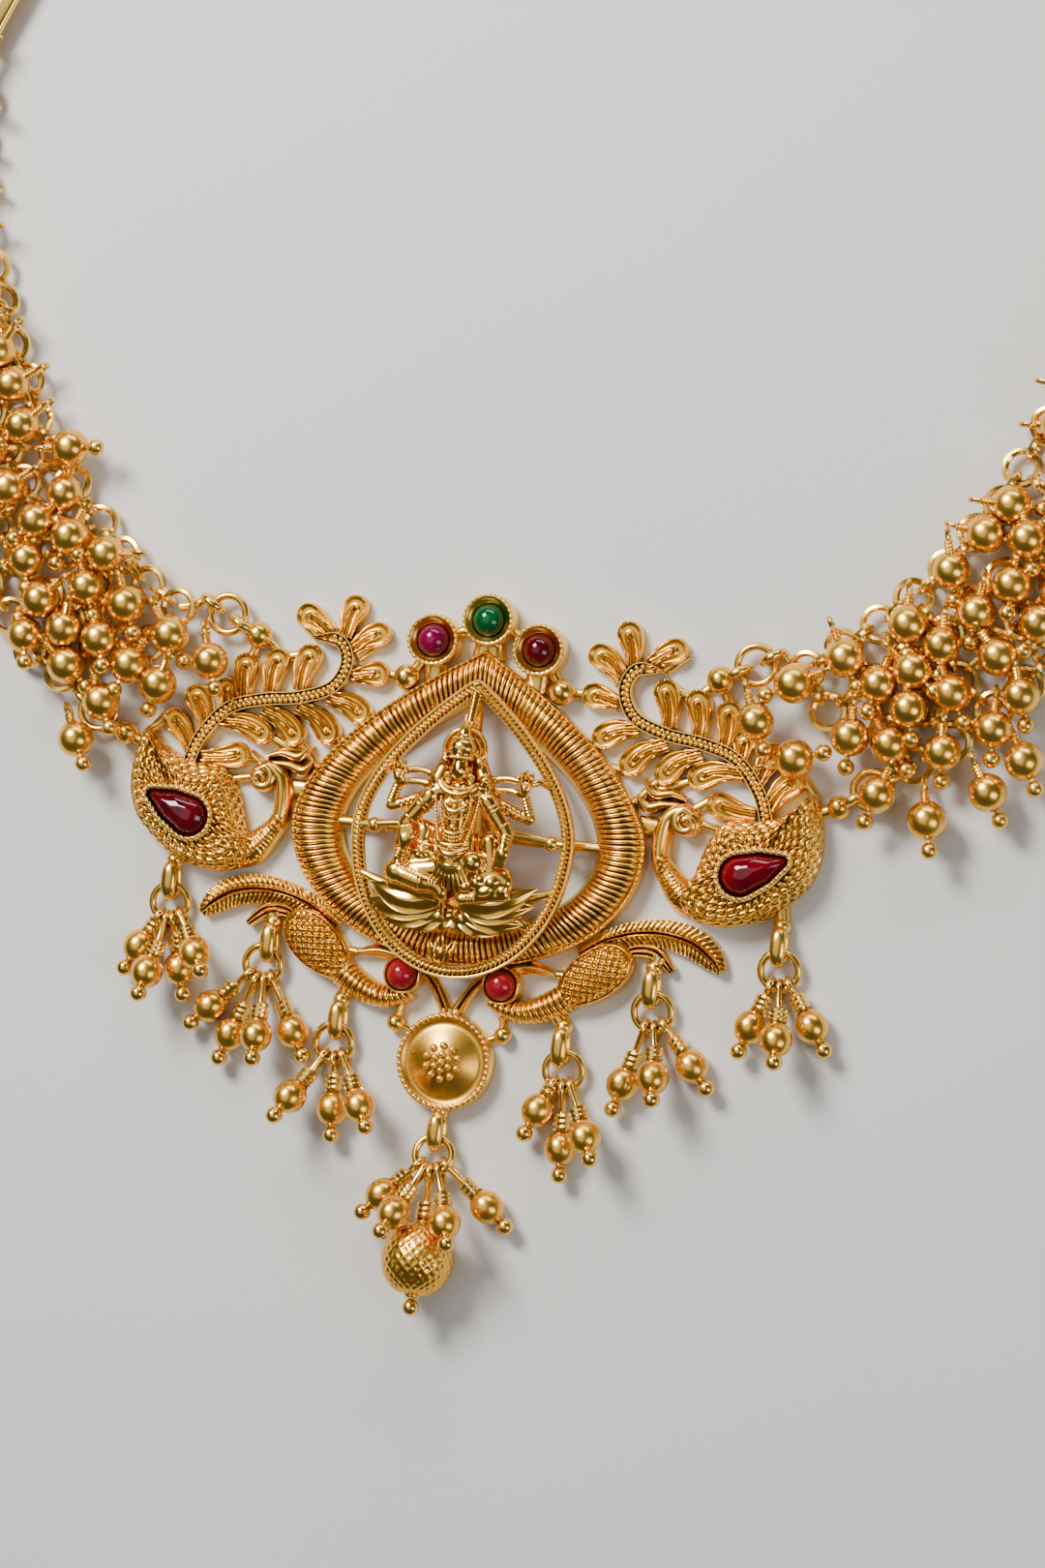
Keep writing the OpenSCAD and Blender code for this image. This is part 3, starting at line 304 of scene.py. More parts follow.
def run_of(path):
    """Distance along a path to each of its points."""
    return np.concatenate([[0], np.cumsum(np.linalg.norm(np.diff(path, axis=0), axis=1))])


def even(path, n, closed=False, flat=True):
    """The same path with its points evenly spaced, as seen from above or in space."""
    q = np.vstack([path, path[:1]]) if closed else path
    length = run_of(q[:, :2] if flat else q)
    s = np.linspace(0, length[-1], n, endpoint=not closed)
    return np.stack([np.interp(s, length, q[:, i]) for i in range(q.shape[1])], -1)


def path_length(path):
    return float(np.sum(np.linalg.norm(np.diff(path[:, :2], axis=0), axis=1)))


def spaced(rows, n, steps):
    """Smooth line through places with a width each, as evenly spaced points."""
    return even(curve([(*at(q), q[2]) for q in rows], steps), n)


def pear_side(s, t):
    """Point on the right side, for a half width, a top, a foot and the height of the widest place."""
    if t <= 1:
        a = math.pi / 2 * t
        return np.array([s[0] * math.sin(a), s[3] - (s[3] - s[2]) * math.cos(a)])
    u = (t - 1) * (1.45 - 0.45 * (t - 1))
    return np.array([s[0] * (1 - u**1.8), s[3] + (s[1] - s[3]) * u])


def pear(s, t):
    """Point at t round a pear outline, where t runs from 0 at the foot to 4."""
    if t <= 2:
        return pear_side(s, t)
    p = pear_side(s, 4 - t)
    return np.array([-p[0], p[1]])


def pears(s, ts):
    return np.array([pear(s, t) for t in ts])


def turned(degrees):
    """Matrix that turns rows of flat points anticlockwise."""
    t = math.radians(degrees)
    return np.array([[math.cos(t), math.sin(t)], [-math.sin(t), math.cos(t)]])


def bump(x, middle, half):
    """Smooth bump of height 1 about a middle."""
    return np.exp(-(((x - middle) / half) ** 2))


widest_y = along(-1.5)
RING_OUTER = (ring_w / 2, ring_top, -ring_foot, widest_y)
RING_INNER = (ring_w / 2 - ring_face, ring_top - ring_face, -ring_foot + 0.79 * ring_face, widest_y)
ROPE_LINE = (rope_half_w, rope_top, -rope_foot, widest_y)

# materials


def nodes_of(name):
    """New material, its node tree and its shader."""
    mat = bpy.data.materials.new(name)
    mat.use_nodes = True
    tree = mat.node_tree
    return mat, tree, tree.nodes["Principled BSDF"]


def node(tree, kind, **values):
    """New shader node, with values for inputs whose names are written with _ for a space."""
    new = tree.nodes.new("ShaderNode" + kind)
    for name, value in values.items():
        new.inputs[name.replace("_", " ")].default_value = value
    return new


def noise(tree, scale, detail):
    """Noise in the object's own space, from 0 to 1."""
    fog = node(tree, "TexNoise", Scale=scale, Detail=detail)
    tree.links.new(node(tree, "TexCoord").outputs["Object"], fog.inputs["Vector"])
    return fog.outputs["Fac"]


def spread(tree, value, low, high, to_low=0.0, to_high=1.0):
    """A value taken from one range to another."""
    span = node(tree, "MapRange", From_Min=low, From_Max=high, To_Min=to_low, To_Max=to_high)
    tree.links.new(value, span.inputs["Value"])
    return span.outputs["Result"]


def mixed(tree, share, first, second):
    """Colour between two others, each of them a colour or the output of a node."""
    mix = node(tree, "Mix")
    mix.data_type = "RGBA"
    tree.links.new(share, mix.inputs[0])
    for socket, colour in ((mix.inputs[6], first), (mix.inputs[7], second)):
        if isinstance(colour, tuple):
            socket.default_value = (*colour, 1)
        else:
            tree.links.new(colour, socket)
    return mix.outputs[2]


def gold(name, light, middle, deep, rough, grain=1.0, patina=0.8):
    """Plated gold: lighter on sharp edges, partly worn plating and partly a painted highlight; painted shade
    in reddish brown in the recesses, mixed with random patina blotches; with a fine cast grain.
    """
    mat, tree, shader = nodes_of(name)
    link = tree.links.new
    # Painted shade: ambient occlusion turns recesses towards the deep colour; the noise adds random patina
    # blotches.
    shade_ao = node(tree, "AmbientOcclusion", Distance=0.7 * MM)
    shade_ao.samples = 6
    blotch = noise(tree, 420, 5)
    share = node(tree, "Math")
    share.operation = "MULTIPLY"
    link(spread(tree, shade_ao.outputs["AO"], 0.3, 0.82), share.inputs[0])
    link(spread(tree, blotch, 0.3, 0.7, 1 - 0.3 * patina), share.inputs[1])
    body = mixed(tree, share.outputs[0], deep, middle)
    # Painted highlight, partly worn plating: sharp edges, found by pointiness, are lightened towards the
    # light colour.
    edge = spread(tree, node(tree, "NewGeometry").outputs["Pointiness"], 0.5, 0.58, 0.0, 0.85)
    link(mixed(tree, edge, body, light), shader.inputs["Base Color"])
    shader.inputs["Metallic"].default_value = 1.0
    link(spread(tree, blotch, 0, 1, rough - 0.06, rough + 0.1), shader.inputs["Roughness"])
    relief = node(tree, "Bump", Strength=0.12 * grain, Distance=0.05 * MM)
    link(noise(tree, 2600, 3), relief.inputs["Height"])
    link(relief.outputs["Normal"], shader.inputs["Normal"])
    return mat


def stone(name, light, deep, clear, rough=0.04):
    """Glass cabochon over a foil, its colour clouded between a light and a deep one."""
    mat, tree, shader = nodes_of(name)
    cloud = spread(tree, noise(tree, 300, 4), 0.3, 0.7)
    tree.links.new(mixed(tree, cloud, deep, light), shader.inputs["Base Color"])
    shader.inputs["Roughness"].default_value = rough
    shader.inputs["IOR"].default_value = 1.5
    shader.inputs["Transmission Weight"].default_value = clear
    return mat


# Colours of the golds: the light one is a painted highlight on sharp edges, partly worn plating; the deep one
# is painted shade in the recesses and also the colour of random patina blotches.
BRIGHT, AMBER, SHADE_AND_PATINA_BROWN = (1.0, 0.68, 0.16), (0.93, 0.5, 0.06), (0.3, 0.12, 0.008)
CAST = gold("cast_gold", BRIGHT, AMBER, SHADE_AND_PATINA_BROWN, 0.22, grain=0.5)
SATIN = gold("satin_gold", (0.99, 0.65, 0.16), (0.88, 0.48, 0.07), SHADE_AND_PATINA_BROWN, 0.3, grain=1.2)
SHINE = gold("figure_gold", BRIGHT, (0.94, 0.5, 0.07), (0.42, 0.16, 0.01), 0.15, grain=0.4)
WIRE = gold("wire_gold", BRIGHT, (0.95, 0.5, 0.07), SHADE_AND_PATINA_BROWN, 0.18, grain=0.4, patina=0.5)
BEAD = gold("bead_gold", (1.0, 0.64, 0.13), (0.95, 0.48, 0.055), SHADE_AND_PATINA_BROWN, 0.25, grain=1.6, patina=0.6)
GREEN = stone("green_glass", (0.0, 0.12, 0.025), (0.0, 0.03, 0.007), 0.3)
MAGENTA = stone("magenta_glass", (0.25, 0.0, 0.05), (0.07, 0.0, 0.016), 0.3)
RED = stone("red_glass", (0.26, 0.0, 0.01), (0.06, 0.0, 0.003), 0.3)
RUBY = stone("ruby_glass", (0.2, 0.0, 0.01), (0.05, 0.0, 0.003), 0.3)
PASTE = stone("pink_paste", (0.36, 0.008, 0.02), (0.22, 0.004, 0.01), 0.0, 0.12)

# ribbed ring


def ribbed_ring():
    """Pear-shaped ring whose ribs drift a little and stand out unevenly."""
    form = Form()
    ribs, steps = 162, 8
    n = ribs * steps
    drift_run, uneven_run = 24, 60
    # Share of the way out across the face, height, and how far a rib stands out there
    profile = np.array(
        [
            [0, 0, 0], [0, 0.5, 0], [0.0, 0.95, 0.1], [0.03, 1.35, 0.25], [0.1, 1.85, 0.4], [0.2, 2.28, 0.65],
            [0.32, 2.58, 0.9], [0.46, 2.76, 1], [0.6, 2.8, 1], [0.72, 2.72, 1], [0.81, 2.54, 1],
            [0.87, 2.34, 0.9], [0.9, 2.2, 0.5], [0.915, 2.16, 0.2], [0.93, 2.26, 0.5], [0.955, 2.32, 0.6],
            [0.98, 2.24, 0.5], [0.997, 1.95, 0.1], [1, 1.5, 0], [1, 0, 0],
        ]
    )
    ts = np.arange(n) / n * 4
    # Even ribs along the middle of the face
    middle = (pears(RING_OUTER, ts) + pears(RING_INNER, ts)) / 2
    length = run_of(np.vstack([middle, middle[:1]]))
    knots = np.arange(0, n + drift_run, drift_run)
    phase = np.arange(n) / steps + 0.2 * np.interp(np.arange(n), knots, rng.uniform(-1, 1, len(knots)))
    s = np.interp(np.arange(n) / n * length[-1], length, np.append(ts, 4.0))
    outer, inner = pears(RING_OUTER, s), pears(RING_INNER, s)
    wave = np.abs(np.sin(math.pi * phase)) ** 0.5
    knots = np.arange(0, n + uneven_run, uneven_run)
    uneven = 1 + 0.1 * np.interp(np.arange(n), knots, rng.normal(0, 1, len(knots)))
    rise = ring_rise / profile[:, 1].max()
    p = np.zeros((n, len(profile), 3))
    for j, (share, z, stand) in enumerate(profile):
        p[:, j, :2] = inner + (outer - inner) * share
        lift = 0.5 * stand * (wave - 0.75) * uneven
        p[:, j, 2] = z * rise + lift * min(1, z / 2)
        if share < 0.15 and stand:
            outward = (outer - inner) / np.linalg.norm(outer - inner, axis=1)[:, None]
            p[:, j, :2] -= outward * (0.16 * stand * (wave - 0.6))[:, None]
    form.grid(p, wrap_u=True, wrap_v=True)
    return form


# plumes

# Places across and up, as drawn, here and in the tables below. A third number is a width, in mm, or for the
# neck and the crests as a share of neck_w
STEM = [
    (30.2, 3.2), (29.2, 6.1), (26.6, 9.3), (23, 10.6), (19.2, 11.2),
    (15.8, 12.6), (14.5, 15.3), (15.5, 17.5), (18.1, 17.6),
]
# Across and up at the stem, across and up at the tip, and how far the leaf bows to its left
LEAVES = [
    (29, 3.9, 23.9, 5, 0.05), (27.3, 7.9, 21.8, 6.4, -0.12), (22.9, 9.5, 18.8, 6.1, -0.14),
    (19.3, 10.2, 15.2, 6.6, -0.14), (16.2, 11.4, 11.8, 9.4, -0.12), (13.9, 13.9, 10, 14.5, -0.04),
    (14.1, 16.8, 10.3, 18.9, -0.1), (15.1, 18, 13.7, 22.4, -0.05), (16.6, 18.2, 20.4, 20.3, 0.06),
    (19.3, 11.9, 18, 16.8, -0.08), (22.4, 11.2, 21.4, 16.1, -0.08), (25.1, 10.4, 25.1, 15.4, -0.04),
    (26.9, 9.4, 27.4, 12.6, 0.02), (28.7, 6.8, 31, 11.3, 0.06), (30.1, 4.4, 33.4, 8.3, 0.1),
]
# Webs between leaves: where each starts and ends
TIES = [
    (20.3, 19.6, 18, 17.6), (13.7, 21.4, 15.5, 17.5), (10.3, 14.5, 8.1, 14.4), (11, 18.4, 13.6, 16),
    (24.1, 17.3, 21.5, 15.2), (24.1, 17.3, 25.1, 14.6), (18, 16.2, 21.4, 15.2), (27.4, 12, 30.6, 10.6),
    (15.2, 7, 13.4, 7.2), (18.8, 6.5, 16.6, 3.9), (21.8, 6.6, 18.6, 5.2), (24, 4.8, 22, 3.4),
    (33.2, 8.2, 34.7, 6.4), (11.8, 9.6, 10.6, 9.2),
]
CORNER_BALL = (24.1, 17.3)
TAIL_BALL = (37.3, 5.6)
WING_BALLS = ((CORNER_BALL, corner_ball_d), (TAIL_BALL, tail_ball_d))


def plume_leaf(form, leaf):
    """Leaf with a round end, a raised edge and a raised hairpin line within it."""
    a, b = at(leaf[:2]), at(leaf[2:4])
    d = b - a
    length = np.linalg.norm(d)
    normal = np.array([-d[1], d[0]])
    round_from = 1 - 0.58 * leaf_w / length
    arc = np.sin(np.linspace(0, math.pi / 2, 11))[1:]
    u = np.concatenate([np.linspace(0, round_from, 14), round_from + (1 - round_from) * arc])
    path = a + d * u[:, None] + normal * (leaf[4] * np.sin(math.pi * u) ** 1.2)[:, None]
    grow = np.clip(u / 0.66, 0, 1)
    width = 1.15 * leaf_w * (0.6 + 0.4 * grow * grow * (3 - 2 * grow))
    cut = np.clip((u - round_from) / (1 - round_from), 0, 1)
    width = width * np.sqrt(np.maximum(1 - cut**2, 0.002))
    # Relief by distance: a raised line along the edge and a hairpin line within it
    shares = np.linspace(-1, 1, 31)
    y = 0.5 * width[:, None] * shares[None]
    past = np.clip((u - round_from) * length, 0, None)[:, None]
    cap = 0.58 * leaf_w
    inside = np.where(past > 0, cap - np.hypot(past, y), 0.5 * width[:, None] - np.abs(y))
    hairpin = np.hypot(np.clip((u - round_from) * length + 0.3, 0, None)[:, None], y)
    section = 0.71 + 0.27 * bump(inside, 0.17, 0.15) + 0.27 * bump(hairpin, 0.31, 0.15)
    section = np.where(inside < 0.05, 0.62, section)
    form.sweep(path, width, shares, leaf_rise * section)


def bar(form, p, q, w, h):
    """Low web of metal with a rounded top."""
    path = np.linspace(p, q, 5)
    shares = np.array([-1, -0.8, -0.4, 0, 0.4, 0.8, 1])
    form.sweep(path, w, shares, np.full((5, 1), h) * np.array([0.5, 0.8, 0.96, 1, 0.96, 0.8, 0.5])[None])


def plume():
    """Stem with granules in its groove, its leaves, the webs between them and two balls."""
    form = Form()
    granule_step = 0.58
    path = even(curve([at(p) for p in STEM], 160), 150)
    u = np.linspace(0, 1, len(path))
    width = stem_w * 1.12 * np.clip(1.0 - 0.75 * np.clip((u - 0.93) / 0.07, 0, 1), 0.2, 1)
    shares = np.array([-1, -0.96, -0.86, -0.74, -0.62, -0.54, -0.3, 0])
    shares = np.concatenate([shares, -shares[-2::-1]])
    v = np.abs(shares)
    section = 0.6 + 0.4 * bump(v, 0.8, 0.17)
    section = np.where(v > 0.99, 0.6, section)
    form.sweep(path, width, shares, stem_rise * section[None] * np.ones((len(path), 1)))
    count = int(path_length(path) * 0.95 / granule_step)
    d = directions(path)
    normal = to_left(d)
    for k in range(count):
        s = (k + 0.5) / count * 0.93 * (len(path) - 1)
        i = int(s)
        for side in (-1, 1):
            c = path[i] + (path[i + 1] - path[i]) * (s - i) + normal[i] * side * 0.21 + d[i] * side * 0.14
            form.ball((*c, stem_rise * 0.8), 0.29, 8, 6)
    for leaf in LEAVES:
        plume_leaf(form, leaf)
    for t in TIES:
        bar(form, at(t[:2]), at(t[2:]), 1.1, 0.8)
    for c, size in WING_BALLS:
        form.ball((*at(c), size / 2), size / 2, 26, 20)
    bar(form, at(TAIL_BALL), at((34.9, 4.6)), 1.4, 1.4)
    return form


# peacocks

PEACOCK = [
    (34.7, 6.7), (32.8, 4.8), (30.8, 3.7), (28, 3.1), (26.3, 2.9), (25.1, 1.6), (24.3, -0.2),
    (23.5, -2.9), (22.6, -4.2), (22.3, -5.7), (23.2, -6.9), (24.7, -7.6), (26.6, -7.8), (28.5, -7.5),
    (30.5, -6.9), (32.2, -5.7), (33.9, -4.2), (35.1, -2.7), (35.9, -0.4), (36, 2.1), (35.6, 4.6),
]
NECK = [
    (25, -5.2, 2.3), (22.6, -5, 1.75), (21, -3.4, 1.25), (19.9, -1.6, 1), (19.8, 0.6, 1),
    (20.2, 2.6, 0.95), (21.5, 3.6, 0.85), (22.7, 3.1, 0.7),
]
CREST = [(21.6, 4.1, 0.4), (19.6, 4, 0.6), (18, 3.6, 0.75), (16.9, 4.6, 0.35)]
HIGH_CREST = [(21.9, 4.7, 0.35), (20.4, 5.2, 0.55), (18.6, 5, 0.7), (17.4, 6.4, 0.3)]
PEAR_MIDDLE = (30, -1.75)
pear_turn = 24


def pear_outline(border, n):
    """Outline of a pear stone grown by a border, in its own frame: a hull of three circles."""
    belly, point = pear_w / 2, 0.5
    ends = np.array([-pear_l / 2 + belly, pear_l / 2 - point])
    middles = np.array([ends[0], ends.mean() - 0.2, ends[1]])
    radii = np.array([belly, (belly + point) / 2 + 0.36, point]) + border
    a = np.linspace(-math.pi, math.pi, 721)[:-1]
    far = np.argmax(middles[:, None] * np.cos(a) + radii[:, None], axis=0)
    rim = np.stack([middles[far] + radii[far] * np.cos(a), radii[far] * np.sin(a)], -1)
    return even(rim, n, closed=True)


def in_pear(points):
    """Points of the pear stone's own frame, turned and moved to its place."""
    return points @ turned(pear_turn) + at(PEAR_MIDDLE)


def peacock_body(form):
    """Domed body with brick-like scales, open where the stone sits."""
    n = 340
    outline = even(curve([at(p) for p in PEACOCK], 600, closed=True), n, closed=True)
    perimeter = path_length(np.vstack([outline, outline[:1]]))
    rim = in_pear(pear_outline(0.22, 400))
    centre = at(PEAR_MIDDLE)
    direction = np.arctan2(*(rim - centre).T[::-1])
    order = np.argsort(direction)
    want = np.arctan2(*(outline - centre).T[::-1])
    inner = [np.interp(want, direction[order], rim[order, i], period=2 * math.pi) for i in (0, 1)]
    inner = np.stack(inner, -1)
    reach = np.linalg.norm(outline - inner, axis=1)
    levels = 46
    share = 1 - (1 - np.linspace(0, 1, levels)) ** 1.8
    out = reach[:, None] * (1 - share[None])
    edge = np.clip(out / 1.9, 0, 1)
    dome = 0.7 + (peacock_rise - 0.8) * np.sqrt(1 - (1 - edge) ** 2)
    step = np.hypot(np.diff(out, axis=1), np.diff(dome, axis=1))
    from_rim = np.concatenate([np.cumsum(step[:, ::-1], axis=1)[:, ::-1], np.zeros((n, 1))], 1)
    # Brick-like scales: rows that follow the outline, each shifted against the next
    row = from_rim / 1.0
    k = np.floor(row)
    arc = (np.arange(n) / n * perimeter)[:, None]
    along_row = arc / 1.3 + 0.5 * (k % 2)
    scale = np.clip(1 - np.abs(2 * (row - k) - 1) ** 3, 0, 1)
    scale = scale * np.clip(1 - np.abs(2 * (along_row - np.floor(along_row)) - 1) ** 4, 0, 1)
    fade = np.clip(share[None] * reach[:, None] / 0.5, 0, 1)
    p = np.zeros((n, levels + 1, 3))
    p[:, :levels, :2] = inner[:, None] + (outline - inner)[:, None] * share[None, :, None]
    stand = 0.38 * (scale - 0.6) * fade
    lean = 1 - edge
    outward = (outline - inner) / reach[:, None]
    p[:, :levels, :2] += outward[:, None] * (0.8 * stand * lean)[..., None]
    p[:, :levels, 2] = dome + stand * (1 - 0.6 * lean)
    p[:, levels, :2] = outline
    foot = p[:, [levels, 0]].copy()
    foot[..., 2] = 0
    form.grid(np.concatenate([p, foot], 1), wrap_u=True, wrap_v=True)


def pear_collet(form):
    """Collet that holds the pear stone, with its beaded border."""
    collet = in_pear(pear_outline(0.12, 120))
    outer = in_pear(pear_outline(pear_border, 120))
    collet_top = pear_seat_z + 1.5
    wall = (
        (collet, 0.4), (collet, pear_seat_z + 1.42), (collet, collet_top),
        (outer, collet_top), (outer, 2.2), (outer, 0.4),
    )
    wall = [np.concatenate([q, np.full((120, 1), z)], -1) for q, z in wall]
    form.grid(np.stack(wall, 1), wrap_u=True, wrap_v=True)
    for c in in_pear(pear_outline(0.34, 32)):
        form.ball((*c, pear_seat_z + 1.56), 0.29, 12, 9)


def rounded(n, edge):
    """Shares across a rounded relief and its height at each, which starts from an edge's height."""
    arch = np.linspace(-math.pi / 2, math.pi / 2, n)
    return np.sin(arch), edge + (1 - edge) * np.cos(arch)


def peacock_neck(form):
    """Neck, scaled at the breast and plain above the collar."""
    path = spaced(NECK, 110, 120)
    u = np.linspace(0, 1, 110)
    shares, round_top = rounded(23, 0.3)
    high = 1.04 * neck_rise * (1 - 0.1 * u)[:, None] * round_top[None]
    scaled = np.clip((0.42 - u) / 0.06, 0, 1)[:, None]
    lines = np.abs(np.sin(np.linspace(0, 4.5 * math.pi, 23)))[None]
    lines = lines * (0.6 + 0.4 * np.sign(np.sin(u * 210)))[:, None]
    high = high + 0.3 * scaled * (lines - 0.5)
    for middle in (0.44, 0.475):
        high = high + 0.3 * bump(u, middle, 0.012)[:, None]
    form.sweep(path[:, :2], path[:, 2] * neck_w * 1.05, shares, high)


def peacock_head(form):
    """Head: a roll curled in on itself, with a small eye."""
    head = at((22.2, 2.4))
    turns = np.linspace(0, 2.3 * math.pi, 64)
    radius = 1.3 - 0.15 * turns
    a = turns + 1.9
    spiral = (head[0] + radius * np.cos(a), head[1] + radius * np.sin(a), 0.72 * neck_rise + 0.06 * turns)
    form.tube(np.stack(spiral, -1), np.linspace(0.62, 0.34, 64), 12)
    form.revolve((*head, 0), [(1.5, 0), (1.5, 1.1), (1.2, 1.5), (0.5, 1.7)], 32)


def peacock_crest(form):
    """Crest feathers that reach the ring, and the webs beside them."""
    shares, round_top = rounded(23, 0.3)
    for rows, lift in ((CREST, 0.75), (HIGH_CREST, 0.7)):
        path = spaced(rows, 40, 50)
        high = lift * neck_rise * round_top[None] * np.ones((40, 1))
        form.sweep(path[:, :2], path[:, 2] * neck_w * 0.95, shares, high)
    bar(form, at((20, 1.5)), at((17, 1.6)), 2.2, 0.9)
    bar(form, at((23.6, 2.4)), at((25.4, 2)), 0.9, 1.0)


def peacock():
    return built(peacock_body, pear_collet, peacock_neck, peacock_head, peacock_crest)


# mango birds

MANGO_MIDDLE = (14.4, -14.3)
mango_turn = 39.5
MANGO_TAIL = [(12.3, -16.4, 3.1), (10, -18, 3), (7.5, -18.9, 2.5), (5.3, -18.7, 1.9), (4, -18.1, 1.3)]
FEATHER = [
    (12.6, -12.2, 1.4), (15.4, -10.4, 2), (18.4, -9.4, 2.4), (21.2, -9.2, 2.9), (24, -9.8, 3.1),
    (26, -11.1, 2.6), (27.2, -12.4, 1),
]
SMALL_LEAF = [(16.8, -11.8, 1), (18.6, -11.2, 1.4), (20.4, -11.4, 1.5), (22.2, -13, 0.8)]
FLAME_LEAF = [(5.6, -14.6, 1.4), (8, -14.2, 1.2), (10.4, -14.6, 0.5)]
V_LEAF = [(3.6, -15.4, 1), (1.9, -17.2, 1.1), (0.5, -19.8, 1.2)]
FOOT_BALL = (5.6, -21.5)


def net(x, y, pitch):
    """Woven net: raised crossing lines with pits between them."""
    a = np.abs(np.sin(math.pi * (x + y) / pitch))
    b = np.abs(np.sin(math.pi * (x - y) / pitch))
    return np.clip(np.maximum(a, b) ** 6, 0, 1)


def mango_body(form):
    """Mango with a woven net inside a raised rim."""
    n, levels = 170, 46
    a = np.arange(n) / n * 2 * math.pi
    taper = 1 + 0.12 * np.cos(a)
    outline = np.stack([mango_l / 2 * np.cos(a), mango_w / 2 * np.sin(a) * taper], -1)
    s = np.concatenate([np.linspace(0.02, 0.84, 38), [0.86, 0.88, 0.91, 0.94, 0.965, 0.985, 1, 1]])
    local = outline[:, None] * s[None, :, None]
    dome = 1.1 + (mango_rise - 1.1) * np.sqrt(np.clip(1 - (s / 1.02) ** 2.4, 0, 1))
    z = np.broadcast_to(dome[None], (n, levels)).copy()
    inside = (s < 0.85)[None]
    z += np.where(inside, 0.32 * (net(local[..., 0], local[..., 1] * 1.1, 0.9) - 0.5), 0)
    z += (0.24 * bump(s, 0.93, 0.03))[None] - (0.15 * bump(s, 0.87, 0.015))[None]
    z[:, -1] = 0
    flat = local @ turned(mango_turn) + at(MANGO_MIDDLE)
    form.grid(np.concatenate([flat, z[..., None]], -1), wrap_u=True)
    middle = np.concatenate([flat[:, 0], z[:, :1]], -1)
    lid = np.stack([middle, np.broadcast_to([*at(MANGO_MIDDLE), mango_rise], middle.shape)], 1)
    form.grid(lid, wrap_u=True)
    foot = np.concatenate([flat[:, -1], np.zeros((n, 1))], -1)
    form.grid(np.stack([foot, np.broadcast_to([*at(MANGO_MIDDLE), 0], foot.shape)], 1), wrap_u=True)


def mango_tail(form):
    """Ribbed tail that narrows to its tip."""
    shares, round_top = rounded(19, 0.25)
    path = spaced(MANGO_TAIL, 150, 160)
    rib = np.abs(np.sin(math.pi * 15 * np.linspace(0, 1, 150))) ** 0.7
    high = (mango_rise * 0.8 - 0.34 * (1 - rib))[:, None] * round_top[None]
    form.sweep(path[:, :2], path[:, 2] * (0.94 + 0.1 * rib), shares, high)


def mango_feather(form):
    """Smooth double midrib with slanted barbs on both sides."""
    path = spaced(FEATHER, 200, 260)
    u = np.linspace(0, 1, 200)
    shares = np.concatenate([np.linspace(-1, -0.3, 9), np.linspace(-0.24, 0.24, 9), np.linspace(0.3, 1, 9)])
    v = np.abs(shares)
    barb = np.abs(np.sin(math.pi * (30 * u[:, None] - 1.6 * v[None]))) ** 0.8
    base = 0.62 + 0.14 * np.cos(v * 1.5)
    barbed = np.clip((v - 0.26) / 0.08, 0, 1)[None] * np.clip((u - 0.16) / 0.1, 0, 1)[:, None]
    high = trim_rise * (base[None] + 0.2 * barbed * (barb - 0.45) + 0.3 * (bump(v, 0.14, 0.09))[None])
    ragged = 1 + 0.05 * np.sin(2 * math.pi * 30 * u - 1.6 * math.pi)
    form.sweep(path[:, :2], path[:, 2] * ragged, shares, high)


def mango_leaves(form):
    """Plain leaves with raised lines, the ball at the foot and the webs that hold them."""
    shares = np.linspace(-1, 1, 19)
    v = np.abs(shares)
    for rows, lift, lines in ((SMALL_LEAF, 0.95, 3), (FLAME_LEAF, 1.1, 1), (V_LEAF, 0.95, 2)):
        path = spaced(rows, 44, 60)
        crest = np.sin(math.pi * shares) if lines == 2 else np.cos(math.pi * shares * lines / 2)
        crest = np.abs(crest)
        section = 0.6 + 0.35 * crest * np.cos(v * 1.2)
        form.sweep(path[:, :2], path[:, 2] * 1.1, shares, trim_rise * lift * section[None] * np.ones((44, 1)))
    bar(form, at((10.4, -14.6)), at((12.4, -14.6)), 1, 1.2)
    bar(form, at(FOOT_BALL), at((5.2, -19)), 0.9, 1.2)
    bar(form, at(FOOT_BALL), at((3.6, -22.4)), 0.8, 1)
    form.ball((*at(FOOT_BALL), 0.95), 0.95, 20, 14)


def mango_bird():
    return built(mango_body, mango_tail, mango_feather, mango_leaves)


# cups, disc, bails and eyes

TOP_CUP, SIDE_CUP, LOW_CUP, SIDE_BALL = (0, 21.1), (5.5, 18.5), (5.15, -16.35), (8.1, 14.4)
DISC_MIDDLE = (0, -24.9)


def top_cup(form, c):
    """Cup with a milgrain rim and a sloping inner wall."""
    hole, rim = top_stone_d / 2 + 0.05, top_cup_d / 2
    profile = [
        (rim, 0), (rim, 2.3), (rim - 0.06, 2.6), (rim - 0.2, 2.78), (rim - 0.42, 2.78), (rim - 0.5, 2.7),
        (hole + 0.3, 2.5), (hole + 0.1, 2.44), (hole, 2.34), (hole, seat_z), (0.3, seat_z),
    ]
    form.revolve((*c, 0), profile, 56)
    form.granules(c, rim - 0.22, 2.78, 27, 0.25)


def low_cup(form, c):
    """Plain cup with a thin rim."""
    hole, rim = low_stone_d / 2 + 0.05, low_cup_d / 2
    profile = [
        (rim, 0), (rim, 2.2), (rim - 0.07, 2.42), (rim - 0.2, 2.5), (rim - 0.3, 2.46), (hole, 2.3),
        (hole, seat_z), (0.3, seat_z),
    ]
    form.revolve((*c, 0), profile, 56)


